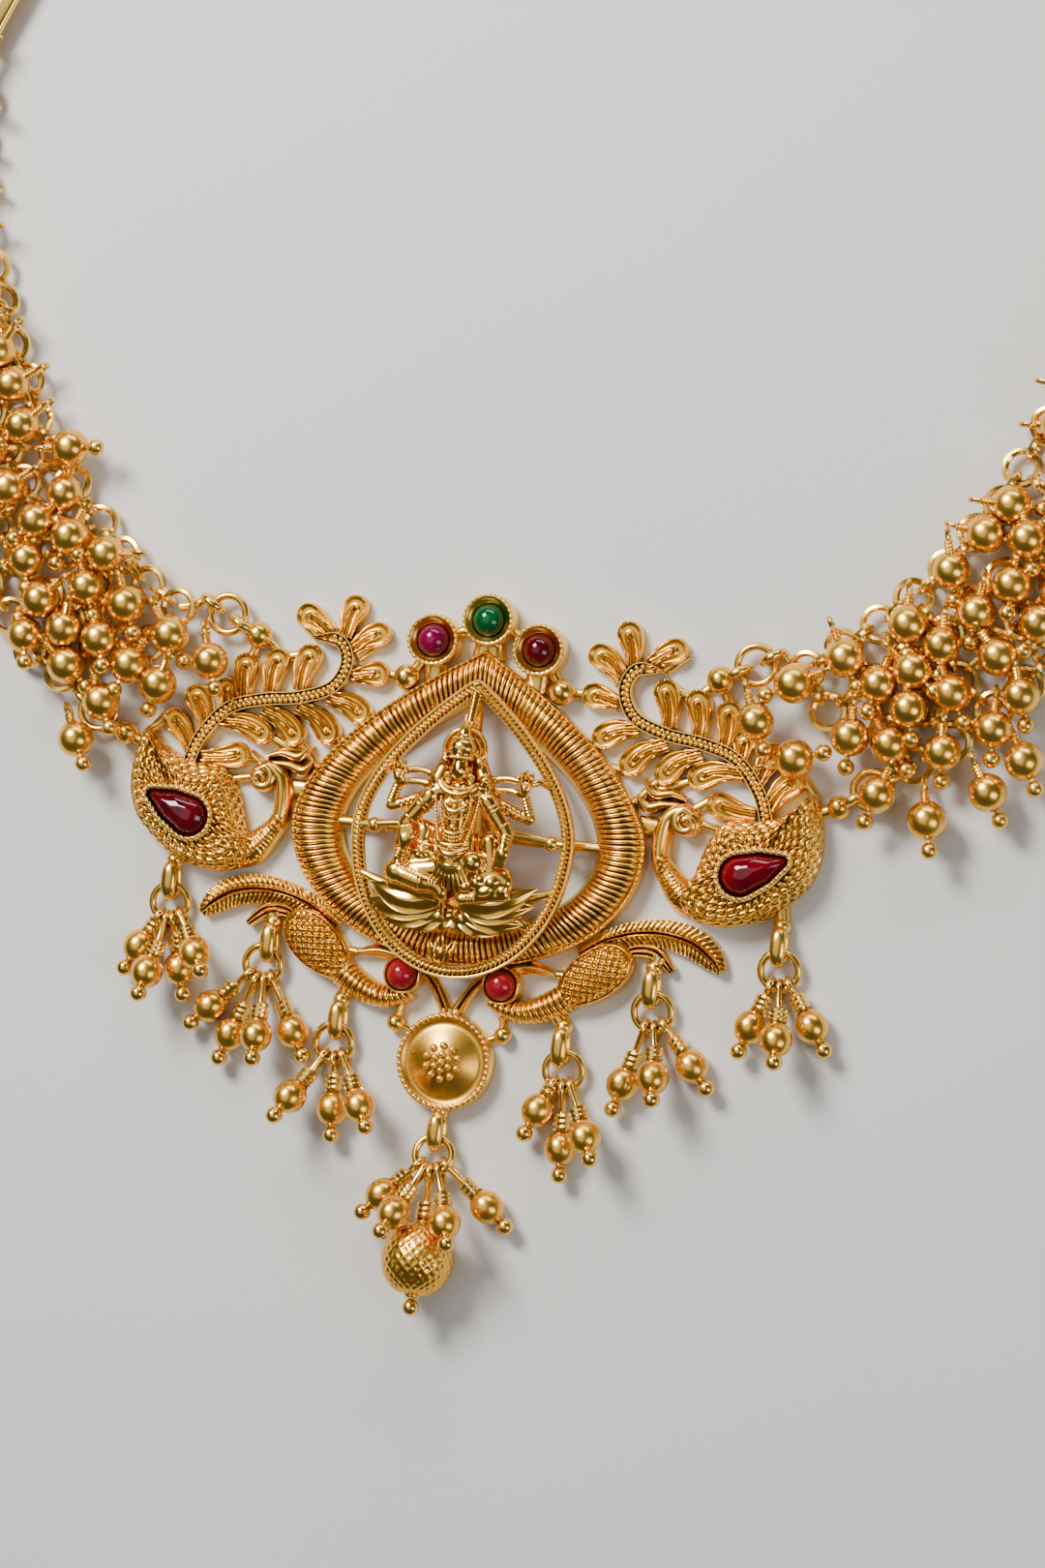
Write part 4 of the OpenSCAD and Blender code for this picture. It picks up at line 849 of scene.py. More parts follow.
def disc():
    """Domed disc with a beaded edge and a rosette of granules."""
    form = Form()
    c = at(DISC_MIDDLE)
    r = disc_d / 2
    profile = [
        (r, 0), (r, 1.6), (r - 0.08, 1.72), (r - 0.35, 1.78), (r - 0.62, 1.74), (r - 0.74, 1.56),
        (r - 0.95, 1.42),
    ]
    top = 0.86 * disc_rise
    for k in range(1, 19):
        u = k / 18
        rise = 1.38 + (top - 1.38) * math.sin(math.pi / 2 * u) ** 1.1
        profile.append(((r - 1.1) * (1 - u) + 0.02, rise))
    form.revolve((*c, 0), profile, 72)
    form.granules(c, r - 0.34, 1.94, 46, 0.31, 12, 9)
    for count, radius, size, low in ((6, 0.84, 0.4, 0.04), (10, 1.72, 0.42, 0.2)):
        form.granules(c, radius, top - low, count, size, 14, 10, shift=0.5)
    form.ball((*c, top + 0.14), 0.46, 16, 12)
    return form


# Each drop: its bail's middle, the ring's turn, the height of the ring's far side, and its pins, each as an
# angle, the distance of the bead and the bead's height, the last two in bead diameters
LEFT_OUTER = ((-30.7, -9.3), 1, 1, ((-28, 1.2, 0.52), (-6, 1.75, 1.45), (14, 1.65, 0.52), (38, 1.45, 1.45)))
LEFT_MIDDLE = ((-19.5, -14.7), -18, 1, ((-26, 1.7, 0.52), (-1, 2, 0.52), (24, 1.75, 1.4), (47, 1.9, 0.52)))
LEFT_INNER = ((-11.5, -21.9), -9, 1, ((-18, 1.55, 1.4), (14, 1.6, 0.52), (42, 1.75, 1.4)))
CENTRE = ((0, -32.2), 0, 2.3, ((-42, 1.5, 1.05), (-20, 1.45, 2.1), (24, 1.65, 2.05), (50, 1.9, 0.6)))
RIGHT_INNER = ((11.8, -22), 15, 1, ((-38, 0.95, 0.52), (-10, 1.95, 0.52), (14, 1.7, 1.4)))
RIGHT_MIDDLE = ((20.4, -14.9), 9, 1, ((-24, 1.95, 0.52), (3, 1.5, 1.45), (32, 1.6, 0.52)))
RIGHT_OUTER = ((32.8, -9.2), 7, 1, ((-26, 1.45, 0.52), (1, 1.6, 1.45), (28, 1.5, 0.52)))
DROPS = {
    "left_outer": LEFT_OUTER, "left_middle": LEFT_MIDDLE, "left_inner": LEFT_INNER, "centre": CENTRE,
    "right_inner": RIGHT_INNER, "right_middle": RIGHT_MIDDLE, "right_outer": RIGHT_OUTER,
}
# Where the bar of each bail meets the casting
LUGS = ((-30.4, -6.2), (-19.8, -11.6), (-11.2, -18.6), (0, -29.4), (10.9, -18.8), (20.8, -11.6), (32.4, -4.8))


def bail(form, c):
    """Standing loop of thick oval wire, thinner at both ends."""
    n, m = 40, 14
    p = np.zeros((n, m, 3))
    for i in range(n):
        a = 2 * math.pi * (i + 0.5) / n
        run = math.copysign(abs(math.cos(a)) ** 0.75, math.cos(a))
        lift = math.copysign(abs(math.sin(a)) ** 0.75, math.sin(a))
        wide = 0.56 * bail_w * (0.72 + 0.28 * math.sin(a) ** 2)
        for k in range(m):
            b = 2 * math.pi * k / m
            out = bail_wall / 2 * (math.cos(b) - 1)
            side = c[0] - wide * math.sin(b)
            p[i, k] = (side, c[1] + (bail_l / 2 + out) * run, bail_h / 2 + (bail_h / 2 + out) * lift)
    form.grid(p, wrap_u=True, wrap_v=True)


def fittings():
    """Cups, side balls and their webs, the bails with their bars, and the eyes at the wings."""
    form = Form()
    for s in (-1, 1):
        c = at(SIDE_CUP) * (s, 1)
        top_cup(form, c)
        low_cup(form, at(LOW_CUP) * (s, 1))
        form.ball((*(at(SIDE_BALL) * (s, 1)), 1.4), 1.4, 24, 18)
        for a, b, w, h in (
            ((0.6, 17), TOP_CUP, 2.4, 1.4), ((5.2, 14.2), SIDE_CUP, 2.6, 1.4), (SIDE_CUP, TOP_CUP, 1.3, 1.3),
            (SIDE_CUP, SIDE_BALL, 1.2, 1.4), (LOW_CUP, (4.1, -13.1), 1.5, 1.3),
        ):
            bar(form, at(a) * (s, 1), at(b) * (s, 1), w, h)
    top_cup(form, at(TOP_CUP))
    bar(form, at((0, -19.4)), at((0, -20.7)), 1.7, 1.45)
    for (middle, *_), lug in zip(DROPS.values(), LUGS):
        c = signed_at(middle)
        bail(form, c)
        bar(form, c + (0, bail_l / 2 - 0.1), signed_at(lug), 1.7, 1.5)
        form.ball((c[0], c[1] + bail_l / 2 - 0.1, 0.95), 0.95, 14, 10)
    for ball, size in WING_BALLS:
        r, a = wing_eye(ball, size)
        for s in (-1, 1):
            standing_eye(form, r, a, s)
    return form


def wing_eye(ball, size):
    """Radius and angle, about the middle of the neck loop, of the eye beside a wing's ball."""
    p = at(ball)
    r = float(np.hypot(p[0], loop_y - p[1]))
    a = math.degrees(math.atan2(p[0], loop_y - p[1]))
    return r, a + arc_angle(size / 2 + eye_d / 2 - eye_wire, r)


def standing_eye(form, r, a, s):
    """Eye that stands on the side s of the neck loop, facing away from the loop's middle."""
    t = math.radians(a)
    outward = (s * math.sin(t), -math.cos(t), 0)
    form.ring((*(polar(r, a) * (s, 1)), eye_z), outward, (eye_d - eye_wire) / 2, eye_wire, 28, 12)


# figure medallion


def twisted_rope(form):
    """Rope whose section has two lobes and turns along its line."""
    turns, m = 156, 12
    n = turns * 8
    line = even(pears(ROPE_LINE, np.arange(n) / n * 4), n, closed=True)
    out = -to_left(directions(line, closed=True))
    v = np.arange(m) / m * 2 * math.pi
    lobe = 1 + 0.32 * np.cos(2 * (v[None] - math.pi * turns * np.arange(n)[:, None] / n))
    r = 0.38 * lobe
    p = np.zeros((n, m, 3))
    p[..., :2] = line[:, None] + out[:, None] * (r * np.cos(v)[None])[..., None]
    p[..., 2] = rope_z + 0.12 + r * np.sin(v)[None]
    form.grid(p, wrap_u=True, wrap_v=True)


def rope_flange(form):
    """Thin flange that the rope lies on."""
    k = 300
    line = even(pears(ROPE_LINE, np.arange(k) / k * 4), k, closed=True)
    out = -to_left(directions(line, closed=True))
    flange = [
        (0.8, -0.66), (0.8, 0.1), (0.74, 0.2), (0.56, 0.22), (0.42, 0.12), (0.3, -0.05), (-0.36, -0.05),
        (-0.44, 0.04), (-0.52, 0.04), (-0.58, -0.06), (-0.58, -0.66),
    ]
    p = np.zeros((k, len(flange), 3))
    for j, (x, z) in enumerate(flange):
        p[:, j, :2] = line + out * x
        p[:, j, 2] = rope_z + z
    form.grid(p, wrap_u=True, wrap_v=True)


def capsule(form, p, pr, q, qr, sides=18):
    """Rounded limb between two points."""
    p, q = np.asarray(p, float), np.asarray(q, float)
    axis = q - p
    length = np.linalg.norm(axis)
    if length < 1e-6:
        form.ball(p, max(pr, qr), sides, sides - 4)
        return
    z = axis / length
    f = frame_of(z)
    lean = math.asin(max(-0.98, min(0.98, (pr - qr) / length)))
    rows = []
    for t in np.linspace(-math.pi / 2 + 0.08, lean, 7):
        rows.append((pr * math.cos(t), pr * math.sin(t)))
    for t in np.linspace(lean, math.pi / 2 - 0.08, 7):
        rows.append((qr * math.cos(t), length + qr * math.sin(t)))
    radii, heights = np.array(rows).T
    form.grid(spun(radii, heights, circle(sides)) @ f + p, wrap_v=True, cap=True)


def string(form, points, r, steps=24, nv=8):
    """Smooth round wire through a few points."""
    form.tube(curve(points, steps), r, nv)


def petal(form, foot, tip, width, thick, cup=0.5, sag=0.0, steps=20):
    """Pointed petal with a raised rim and a faint keel, from its foot to its tip; its middle may sag."""
    foot, tip = np.asarray(foot, float), np.asarray(tip, float)
    u = np.linspace(0, 1, steps)
    axis = tip - foot
    side = np.cross(axis, (0, 0, 1.0))
    side /= np.linalg.norm(side)
    up = np.cross(side, axis)
    up /= np.linalg.norm(up)
    spread = np.sin(math.pi * np.clip(0.12 + 0.9 * u, 0, 1)) ** 0.7 * (1 - 0.15 * u)
    spread = np.maximum(spread / spread.max(), 0.04)
    v = np.linspace(-1, 1, 15)
    dish = thick * (1 - v * v) ** 0.5
    dish = dish + 0.1 * bump(v, 0, 0.12)
    dish = dish + 0.2 * bump(np.abs(v), 0.86, 0.12) - 0.08 * bump(np.abs(v), 0.5, 0.25)
    under = -0.6 * thick * (1 - v * v) ** 0.5
    line = foot + axis * u[:, None] + up * (0.5 * cup * np.sin(math.pi * u))[:, None]
    line[:, 1] -= sag * np.sin(math.pi * u)
    x = np.concatenate([v, v[::-1]]) * width / 2
    z = np.concatenate([dish, under[::-1]])
    p = line[:, None] + spread[:, None, None] * (side * x[:, None] + up * z[:, None])[None]
    form.grid(p, wrap_v=True, cap=True)


def garland(form, half, rise, low, front, r, back=0.55, grains=0):
    """String that hangs in a U: half its width, height of its ends, its lowest point and its front there."""
    t = np.linspace(-1.25, 1.25, 11)
    x = half * np.sin(t) / math.sin(1.25)
    drop = (1 - np.cos(t)) / (1 - math.cos(1.25))
    line = np.stack([x, low + (rise - low) * drop, front - back * drop], -1)
    if not grains:
        string(form, line, r, 30, 9)
        return
    for c in even(curve(line, 90), grains, flat=False):
        form.ball(c, r, 9, 7)


def figure_head(f):
    """Head with brow, nose, lips, cheeks, chin and ears."""
    f.blob((0, 5.45, 7.5), (0.98, 1.25, 0.98), 24, 18)
    capsule(f, (0, 5.75, 8.36), 0.1, (0, 5.28, 8.5), 0.17, 10)
    capsule(f, (-0.2, 4.93, 8.36), 0.11, (0.2, 4.93, 8.36), 0.11, 10)
    f.ball((0, 4.58, 8.1), 0.32, 12, 10)
    for s in (-1, 1):
        f.ball((s * 0.5, 5.15, 7.98), 0.36, 12, 10)
        capsule(f, (s * 0.14, 5.98, 8.34), 0.09, (s * 0.62, 5.96, 8.14), 0.08, 8)
        f.blob((s * 0.37, 5.68, 8.26), (0.2, 0.1, 0.14), 10, 8)
        f.blob((s * 1.05, 5.35, 7.2), (0.26, 0.5, 0.32), 12, 10)
        f.ball((s * 1.2, 4.6, 7.25), 0.32, 12, 10)
        f.ball((s * 1.85, 6.3, 7.0), 0.42, 14, 10)
        f.ball((s * 1.5, 6.95, 7.1), 0.3, 12, 9)


def figure_crown(f):
    """Band, dome and spire."""
    f.blob((0, 6.7, 7.4), (1.2, 0.34, 1.16), 24, 10)
    f.blob((0, 7.65, 7.3), (1.48, 1.22, 1.26), 28, 18)
    f.blob((0, 8.82, 7.2), (0.98, 0.26, 0.9), 20, 10)
    capsule(f, (0, 9.1, 7.15), 0.74, (0, 10.3, 7.0), 0.34, 20)
    f.blob((0, 10.75, 6.95), (0.26, 0.55, 0.26), 16, 12)


def figure_mantle(f):
    """Smooth hood behind the crown and the mantle that falls from it to the shoulders."""
    f.ring((0, 7.45, 6.25), (0, 0, 1), 2.2, 0.5, 52, 12)
    f.blob((0, 7.3, 5.7), (2.35, 2.65, 0.75), 32, 18)
    for s in (-1, 1):
        capsule(f, (s * 1.75, 6.2, 6.0), 0.78, (s * 2.45, 4.2, 6.3), 0.95, 18)
        capsule(f, (s * 2.3, 5.6, 6.2), 0.3, (s * 2.95, 3.9, 6.5), 0.36, 12)
    f.ball((2.6, 4.45, 6.9), 0.6, 16, 12)


def figure_torso(f):
    """Neck, shoulders, chest, waist and hips."""
    capsule(f, (0, 4.5, 6.9), 0.66, (0, 3.4, 6.8), 0.9)
    capsule(f, (-2.25, 3.05, 6.3), 1.08, (2.25, 3.05, 6.3), 1.08)
    capsule(f, (0, 2.7, 6.3), 1.75, (0, 0.2, 6.5), 1.45)
    capsule(f, (0, 0.2, 6.5), 1.45, (0, -2.1, 6.6), 1.35)
    capsule(f, (0, -2.1, 6.5), 1.45, (0, -4.4, 6.0), 2.15)
    for s in (-1, 1):
        f.ball((s * 0.88, 1.75, 7.15), 0.9, 18, 14)


def front_arms(f):
    """One forearm rises to an open palm, the other falls towards the ball."""
    for s in (-1, 1):
        capsule(f, (s * 3.05, 2.45, 6.6), 0.98, (s * 5.4, -0.6, 6.6), 0.8)
    capsule(f, (-5.4, -0.6, 6.5), 0.78, (-5.85, -3.6, 6.4), 0.66)
    capsule(f, (-5.75, -4.2, 6.5), 0.66, (-5.05, -2.7, 7.6), 0.5)
    f.blob((-4.95, -2.25, 7.75), (0.8, 0.72, 0.5), 18, 14)
    for k, dx in enumerate((-0.5, -0.17, 0.17, 0.5)):
        capsule(f, (-4.95 + dx, -2.0, 7.9), 0.22, (-4.9 + dx * 1.1, -0.9 + 0.1 * (k % 3), 7.95), 0.17, 9)
    capsule(f, (-4.35, -2.5, 7.9), 0.2, (-4.0, -1.9, 7.95), 0.16, 9)
    capsule(f, (5.4, -0.6, 6.5), 0.78, (5.4, -2.0, 7.3), 0.56)
    f.blob((5.4, -2.7, 7.6), (0.76, 0.72, 0.5), 18, 14)
    for dx in (-0.48, -0.16, 0.16, 0.48):
        capsule(f, (5.3 + dx, -3.0, 7.75), 0.22, (5.1 + dx, -4.1, 7.6), 0.17, 9)


def rear_arms(f):
    """Arms bent upwards, their hands and the stems that run to the shoulders."""
    for s in (-1, 1):
        capsule(f, (s * 3.0, 2.7, 5.5), 0.8, (s * 7.4, 0.9, 5.6), 0.5)
        capsule(f, (s * 7.5, 1.0, 5.6), 0.55, (s * 6.75, 3.4, 6.0), 0.44)
        f.blob((s * 6.75, 4.1, 6.3), (0.62, 0.66, 0.5), 16, 12)
        for k, dx in enumerate((-0.4, -0.13, 0.13, 0.4)):
            tip = (s * 6.75 + dx * 1.15, 4.95 - 0.08 * (k % 3), 6.6)
            capsule(f, (s * 6.75 + dx, 4.2, 6.5), 0.18, tip, 0.14, 8)
        string(f, [(s * 6.4, 3.5, 6.0), (s * 4.8, 3.75, 5.8), (s * 2.8, 3.5, 5.9)], 0.42)
        string(f, [(s * 6.3, 4.75, 6.0), (s * 4.6, 4.95, 5.8), (s * 2.6, 4.5, 5.9)], 0.42)
        string(f, [(s * 7.2, 4.6, 6.0), (s * 8.1, 4.9, 5.3), (s * 8.8, 4.5, rope_z)], 0.42)


def lap_and_cushions(f):
    """Ball before the lap, and the cushion on both sides of the hips."""
    f.ball((2.35, -3.95, 7.1), 1.22, 26, 20)
    f.blob((-3.2, -3.3, 6.2), (1.5, 1.25, 1.05), 20, 16)
    capsule(f, (3.6, -1.7, 5.9), 1.15, (4.1, -4.1, 6.0), 1.2)
    capsule(f, (-3.5, -1.2, 5.6), 1.2, (-4.2, -4.2, 5.7), 1.3)
    capsule(f, (0, 5.6, 5.4), 1.5, (0, -3.4, 4.9), 2.7)


def crossed_legs(f):
    """The left leg lies on top, its foot in the middle; cloth lies in soft folds on the right."""
    capsule(f, (-1.2, -4.9, 6.0), 1.5, (-5.6, -5.7, 5.9), 1.4, 24)
    f.blob((-5.75, -5.65, 6.3), (1.6, 1.35, 1.35), 26, 20)
    capsule(f, (-5.1, -5.9, 6.55), 1.2, (-3.3, -6.45, 6.85), 1.08, 24)
    capsule(f, (-3.3, -6.45, 6.85), 1.02, (-1.2, -6.75, 6.75), 0.78, 24)
    capsule(f, (-6.3, -6.9, 5.6), 0.9, (-1.2, -7.8, 6.0), 0.8, 20)
    capsule(f, (1.2, -4.9, 6.0), 1.4, (5.2, -5.3, 6.0), 1.25, 24)
    capsule(f, (5.7, -6.9, 6.2), 0.78, (1.3, -7.75, 6.5), 0.66, 20)
    for c, radii in (
        ((2.9, -5.95, 7.0), (0.85, 0.8, 0.8)), ((4.4, -5.8, 6.8), (0.95, 0.75, 0.8)),
        ((3.8, -6.75, 6.9), (1.1, 0.55, 0.7)), ((5.7, -5.6, 6.4), (0.9, 0.9, 0.8)),
        ((1.7, -6.5, 6.9), (0.75, 0.6, 0.7)), ((5.5, -6.5, 6.5), (0.8, 0.6, 0.7)),
    ):
        f.blob(c, radii, 20, 14, turn=20)
    f.blob((-0.8, -7.3, 7.0), (0.7, 0.85, 0.6), 20, 14)
    capsule(f, (-0.75, -7.9, 6.7), 0.42, (-0.85, -9.6, 5.6), 0.3, 12)
    for k in range(5):
        f.ball((-1.3 + 0.26 * k, -8.05 + 0.04 * (k - 2) ** 2, 6.95), 0.2, 10, 8)


def seat_and_stays(f):
    """Seat of the lotus, and the stays to the rope frame above and below."""
    f.blob((0, -8.2, 3.8), (7.2, 2.3, 1.2), 40, 20)
    capsule(f, (0, 13.4, rope_z), 0.6, (0, 10.4, rope_z + 1.4), 0.5)
    capsule(f, (0, 12, rope_z - 0.2), 0.8, (0, 8, 5.0), 1.3)
    for s in (-1, 1):
        capsule(f, (s * 5.6, -9.2, 3.8), 0.9, (s * 7.8, -10.0, rope_z - 0.2), 0.5)
        capsule(f, (s * 7.0, -7.4, 4.2), 0.7, (s * 10.4, -6.2, rope_z), 0.4)


def seated_body():
    """Round forms of the seated figure, which are melted together."""
    upper = (figure_head, figure_crown, figure_mantle, figure_torso, front_arms, rear_arms)
    return built(*upper, lap_and_cushions, crossed_legs, seat_and_stays)


def crown_jewels(f):
    """Granules of the crown, the jewel at its front, and the rings and beads below the ears."""
    for y, r, n, size in ((6.62, 1.16, 24, 0.19), (8.62, 0.96, 20, 0.14)):
        for k in range(n):
            t = 2 * math.pi * k / n
            f.ball((r * math.sin(t), y, 7.35 + r * math.cos(t)), size, 9, 7)
    f.ball((0, 7.15, 8.42), 0.3, 12, 9)
    for k in range(-2, 3):
        f.ball((0.42 * k, 7.75 - 0.12 * abs(k), 8.46 - 0.07 * k * k), 0.15, 8, 6)
    for s in (-1, 1):
        f.ball((s * 1.2, 4.05, 7.4), 0.24, 10, 8)
        f.ring((s * 1.2, 4.6, 7.4), (0, 0, 1), 0.36, 0.16, 18, 7)
        for k in range(5):
            f.ball((s * (1.9 + 0.42 * k), 4.05 - 0.12 * k * k, 7.0 - 0.05 * k), 0.21, 9, 7)


def necklaces(f):
    """Collar, necklaces and pendants."""
    garland(f, 2.0, 4.0, 2.85, 8.1, 0.32)
    garland(f, 1.6, 3.9, 3.4, 8.0, 0.17, grains=15)
    garland(f, 0.85, 3.0, 2.1, 8.25, 0.17)
    garland(f, 1.15, 1.8, 1.05, 8.35, 0.32)
    garland(f, 1.25, 1.0, 0.25, 8.15, 0.15, grains=13)
    garland(f, 1.3, -0.5, -1.2, 8.1, 0.19)
    garland(f, 2.35, 3.0, -3.9, 8.0, 0.19, back=0.9, grains=46)
    f.ball((0, 1.6, 8.3), 0.26, 12, 9)
    f.blob((0, -0.6, 8.0), (0.45, 0.5, 0.42), 16, 12)
    for k in range(-3, 4):
        f.ball((0.3 * k, -1.62 + 0.03 * k * k, 8.05 - 0.02 * k * k), 0.17, 9, 7)
        f.ball((0.28 * k, -1.98 + 0.03 * k * k, 8.05 - 0.02 * k * k), 0.15, 9, 7)
    for s in (-1, 1):
        for k in range(12):
            f.ball((s * (1.6 - 0.006 * k * k), 2.4 - 0.31 * k, 7.75 + 0.01 * k), 0.17, 9, 7)


def girdle(f):
    """Girdle, and the pleats that fall from it over the crossed shins."""
    garland(f, 1.7, -2.0, -2.4, 8.05, 0.24)
    garland(f, 1.7, -2.5, -2.85, 8.1, 0.16, grains=17)
    garland(f, 1.25, -2.8, -3.35, 8.2, 0.36)
    garland(f, 0.95, -4.0, -4.5, 8.0, 0.3)
    f.ball((0, -2.62, 8.25), 0.3, 12, 9)
    for k in range(-4, 5):
        bend, end = (0.42 * k, -5.6, 7.65 - 0.02 * k * k), (0.62 * k, -7.0, 7.1 - 0.03 * k * k)
        string(f, [(0.3 * k, -4.5, 7.6), bend, end], 0.2, 18, 8)


def bangles(f):
    """Armlets, bracelets and anklets."""
    for s in (-1, 1):
        for t, size in ((0.22, 1.0), (0.34, 0.97), (0.8, 0.88)):
            c = np.array([s * 3.05, 2.45, 6.6]) + t * np.array([s * 2.35, -3.05, 0])
            f.ring(c, (s * 2.35, -3.05, 0), size, 0.26, 30, 8)
        for k in range(6):
            c = np.array([s * 7.45, 1.3, 5.65]) + (0.12 + 0.15 * k) * np.array([-s * 0.75, 2.1, 0.4])
            f.ring(c, (-s * 0.75, 2.1, 0.4), 0.5, 0.22, 20, 7)
        for k in range(4):
            c = np.array([s * 3.6, 2.4, 5.5]) + (0.3 + 0.14 * k) * np.array([s * 3.8, -1.5, 0.1])
            f.ring(c, (s * 3.8, -1.5, 0.1), 0.7 - 0.03 * k, 0.2, 20, 7)
    for k in range(3):
        c = (-5.55 + 0.14 * k, -3.85 + 0.35 * k, 6.85 + 0.24 * k)
        f.ring(c, (0.7, 1.5, 1.1), 0.62 - 0.03 * k, 0.24, 24, 8)
        f.ring((5.4, -1.1 - 0.33 * k, 6.75 + 0.2 * k), (0, -1.4, 0.8), 0.7 - 0.03 * k, 0.24, 24, 8)
    for k in range(3):
        f.ring((-2.0 + 0.32 * k, -6.5 - 0.06 * k, 6.7), (4.75, -0.9, 0.4), 1.03 - 0.03 * k, 0.17, 28, 8)
        f.ring((2.6 - 0.32 * k, -7.5 - 0.05 * k, 6.42), (4.4, 0.85, -0.3), 0.7, 0.17, 24, 8)


def cloth_folds(f):
    """Folds of cloth round the calf that lies on top, and over the knee."""
    for k in range(5):
        c = (-2.95 - 0.5 * k, -6.52 + 0.14 * k, 6.85 - 0.07 * k)
        f.ring(c, (4.75, -1.2 - 0.35 * (k % 2), 0.4 - 0.5 * k), 1.06 + 0.035 * k, 0.2, 30, 8)
    for k in range(4):
        x = -4.9 - 0.5 * k
        bend, end = (x, -5.3, 7.5 - 0.1 * k), (x - 0.4, -6.3, 7.2 - 0.16 * k)
        string(f, [(x + 0.5, -4.5, 6.85), bend, end], 0.17, 16, 8)


def rosette(f):
    """Rosette on the left cushion, and the ring on the ball."""
    f.ball((-3.2, -3.3, 7.25), 0.3, 12, 9)
    for k in range(8):
        t = 2 * math.pi * k / 8
        f.ball((-3.2 + 0.62 * math.cos(t), -3.3 + 0.55 * math.sin(t), 7.12), 0.22, 10, 8)
    f.ring((2.35, -3.95, 7.75), (0.1, -0.2, 1), 1.02, 0.2, 32, 8)


def lotus(f):
    """Buds held by the rear hands, the petals that fan out from below the foot, and the sprig below."""
    for s in (-1, 1):
        for lean in (-0.8, 0, 0.8):
            tip = (s * 6.8 + lean, 6.1 - 0.35 * abs(lean), 6.4)
            petal(f, (s * 6.8 + lean * 0.2, 4.6, 6.3), tip, 0.85, 0.3)
    # Long upper petals, the lower ones farther back
    for s, tips in (
        (-1, ((8.9, -7.0, 5.0), (9.1, -8.9, 4.7), (7.7, -10.5, 4.4), (5.0, -11.3, 4.2), (2.4, -11.1, 4.1))),
        (1, ((8.9, -5.9, 5.2), (8.7, -7.8, 4.8), (7.6, -9.8, 4.5), (5.0, -11.1, 4.2), (2.3, -11.1, 4.1))),
    ):
        for k, (x, y, z) in enumerate(tips):
            foot = (s * (1.2 - 0.22 * k), -8.1 - 0.18 * k, 5.3 - 0.25 * k)
            petal(f, foot, (s * x, y, z), 3.3, 0.7, 1.2, sag=0.9 - 0.22 * k, steps=26)
        for x, y, z in ((8.3, -7.9, 4.4), (6.6, -9.9, 4.0), (3.6, -11.3, 3.8)):
            petal(f, (s * 1.5, -8.4, 4.4), (s * x, y, z), 2.8, 0.5, 0.9, sag=0.5)
    petal(f, (-0.4, -8.4, 4.6), (-0.2, -10.9, 4.2), 2.2, 0.6, 0.8)
    # Sprig below the lotus
    for tip, foot, w in (((-1.0, -11.4), -1.0, 1.3), ((-2.3, -12.3), -1.3, 1.1), ((0.5, -12.2), -0.7, 1.1)):
        petal(f, (foot, -14.7, rope_z), (*tip, rope_z + 0.3), w, 0.5)


def melted(name, form, voxel, smooth):
    """The forms as one casting: remeshed to a voxel size and smoothed."""
    source = bpy.data.objects.new("melt", mesh_of("melt", form))
    bpy.context.scene.collection.objects.link(source)
    remesh = source.modifiers.new("remesh", "REMESH")
    remesh.mode = "VOXEL"
    remesh.voxel_size = voxel * MM
    soften = source.modifiers.new("smooth", "SMOOTH")
    soften.factor = 0.5
    soften.iterations = smooth
    graph = bpy.context.evaluated_depsgraph_get()
    mesh = bpy.data.meshes.new_from_object(source.evaluated_get(graph))
    mesh.name = name
    bpy.data.objects.remove(source)
    return mesh


def strut():
    """Bar behind the figure, with a pad that lies on the skin and a knob on each side."""
    form = Form()
    y = -1.2
    end = RING_INNER[0] + 1 - fit_gap
    form.tube([(-end, y, 1.0), (-end + 0.4, y, 1.0), (end - 0.4, y, 1.0), (end, y, 1.0)], 0.6, 16)
    pad = [
        (0.1, 0), (3.8, 0), (3.95, 0.15), (3.95, 0.9), (3.7, 1.2), (2.2, 1.3), (2.3, 3.0), (2.6, rope_z),
    ]
    post = [(0.1, 0.3), (0.7, 0.35), (0.75, 2.6), (0.62, 3.4), (0.3, rope_z)]
    form.revolve((0, y, 0), pad, 48)
    for s in (-1, 1):
        x = s * (rope_half_w - 1.6)
        form.revolve((x, y, 0), post, 24)
        form.ball((x, y, rope_z - 0.2), 0.82, 20, 14)
        arm = [(x, y + 0.1, rope_z), (s * 7, y + 0.45, rope_z + 0.5), (s * 4.6, y + 0.5, rope_z + 1)]
        form.tube(arm, 0.42, 12)
        form.tube([(x, y, rope_z - 0.2), (s * rope_half_w, y, rope_z)], 0.4, 12)
    return form


# stones


def cabochon(c, d, name, material, slot):
    """Round domed stone in its cup."""
    form = Form()
    r = d / 2
    rows = [(r * 0.98, seat_z + 0.06), (r, seat_z + 0.14), (r, seat_z + 0.5)]
    for t in np.linspace(0, math.pi / 2 - 0.03, 18)[1:]:
        rows.append((r * math.cos(t), seat_z + 0.5 + (stone_h - 0.44) * math.sin(t)))
    form.revolve((*c, 0), rows, 64)
    piece(name, form, material, slot, name, angle=180)


def pear_stone(side, name, material, slot):
    """Domed pear stone in its collet, on one side of the pendant."""
    form = Form()
    n = 120
    base = pear_outline(-0.02, n)
    middle = np.array([-0.14 * pear_l, 0])
    rows = [(share, pear_seat_z + z) for share, z in ((0.99, 0.06), (1, 0.2), (1, 0.7))]
    for t in np.linspace(0, math.pi / 2 - 0.03, 20)[1:]:
        rows.append((math.cos(t) ** 0.9, pear_seat_z + 0.7 + (stone_h + 0.4 - 0.64) * math.sin(t)))
    p = np.zeros((len(rows), n, 3))
    for i, (share, z) in enumerate(rows):
        p[i, :, :2] = in_pear(middle + (base - middle) * share) * (side, 1)
        p[i, :, 2] = z
    form.grid(p, wrap_v=True, cap=True)
    piece(name, form, material, slot, name, angle=180)


# drops


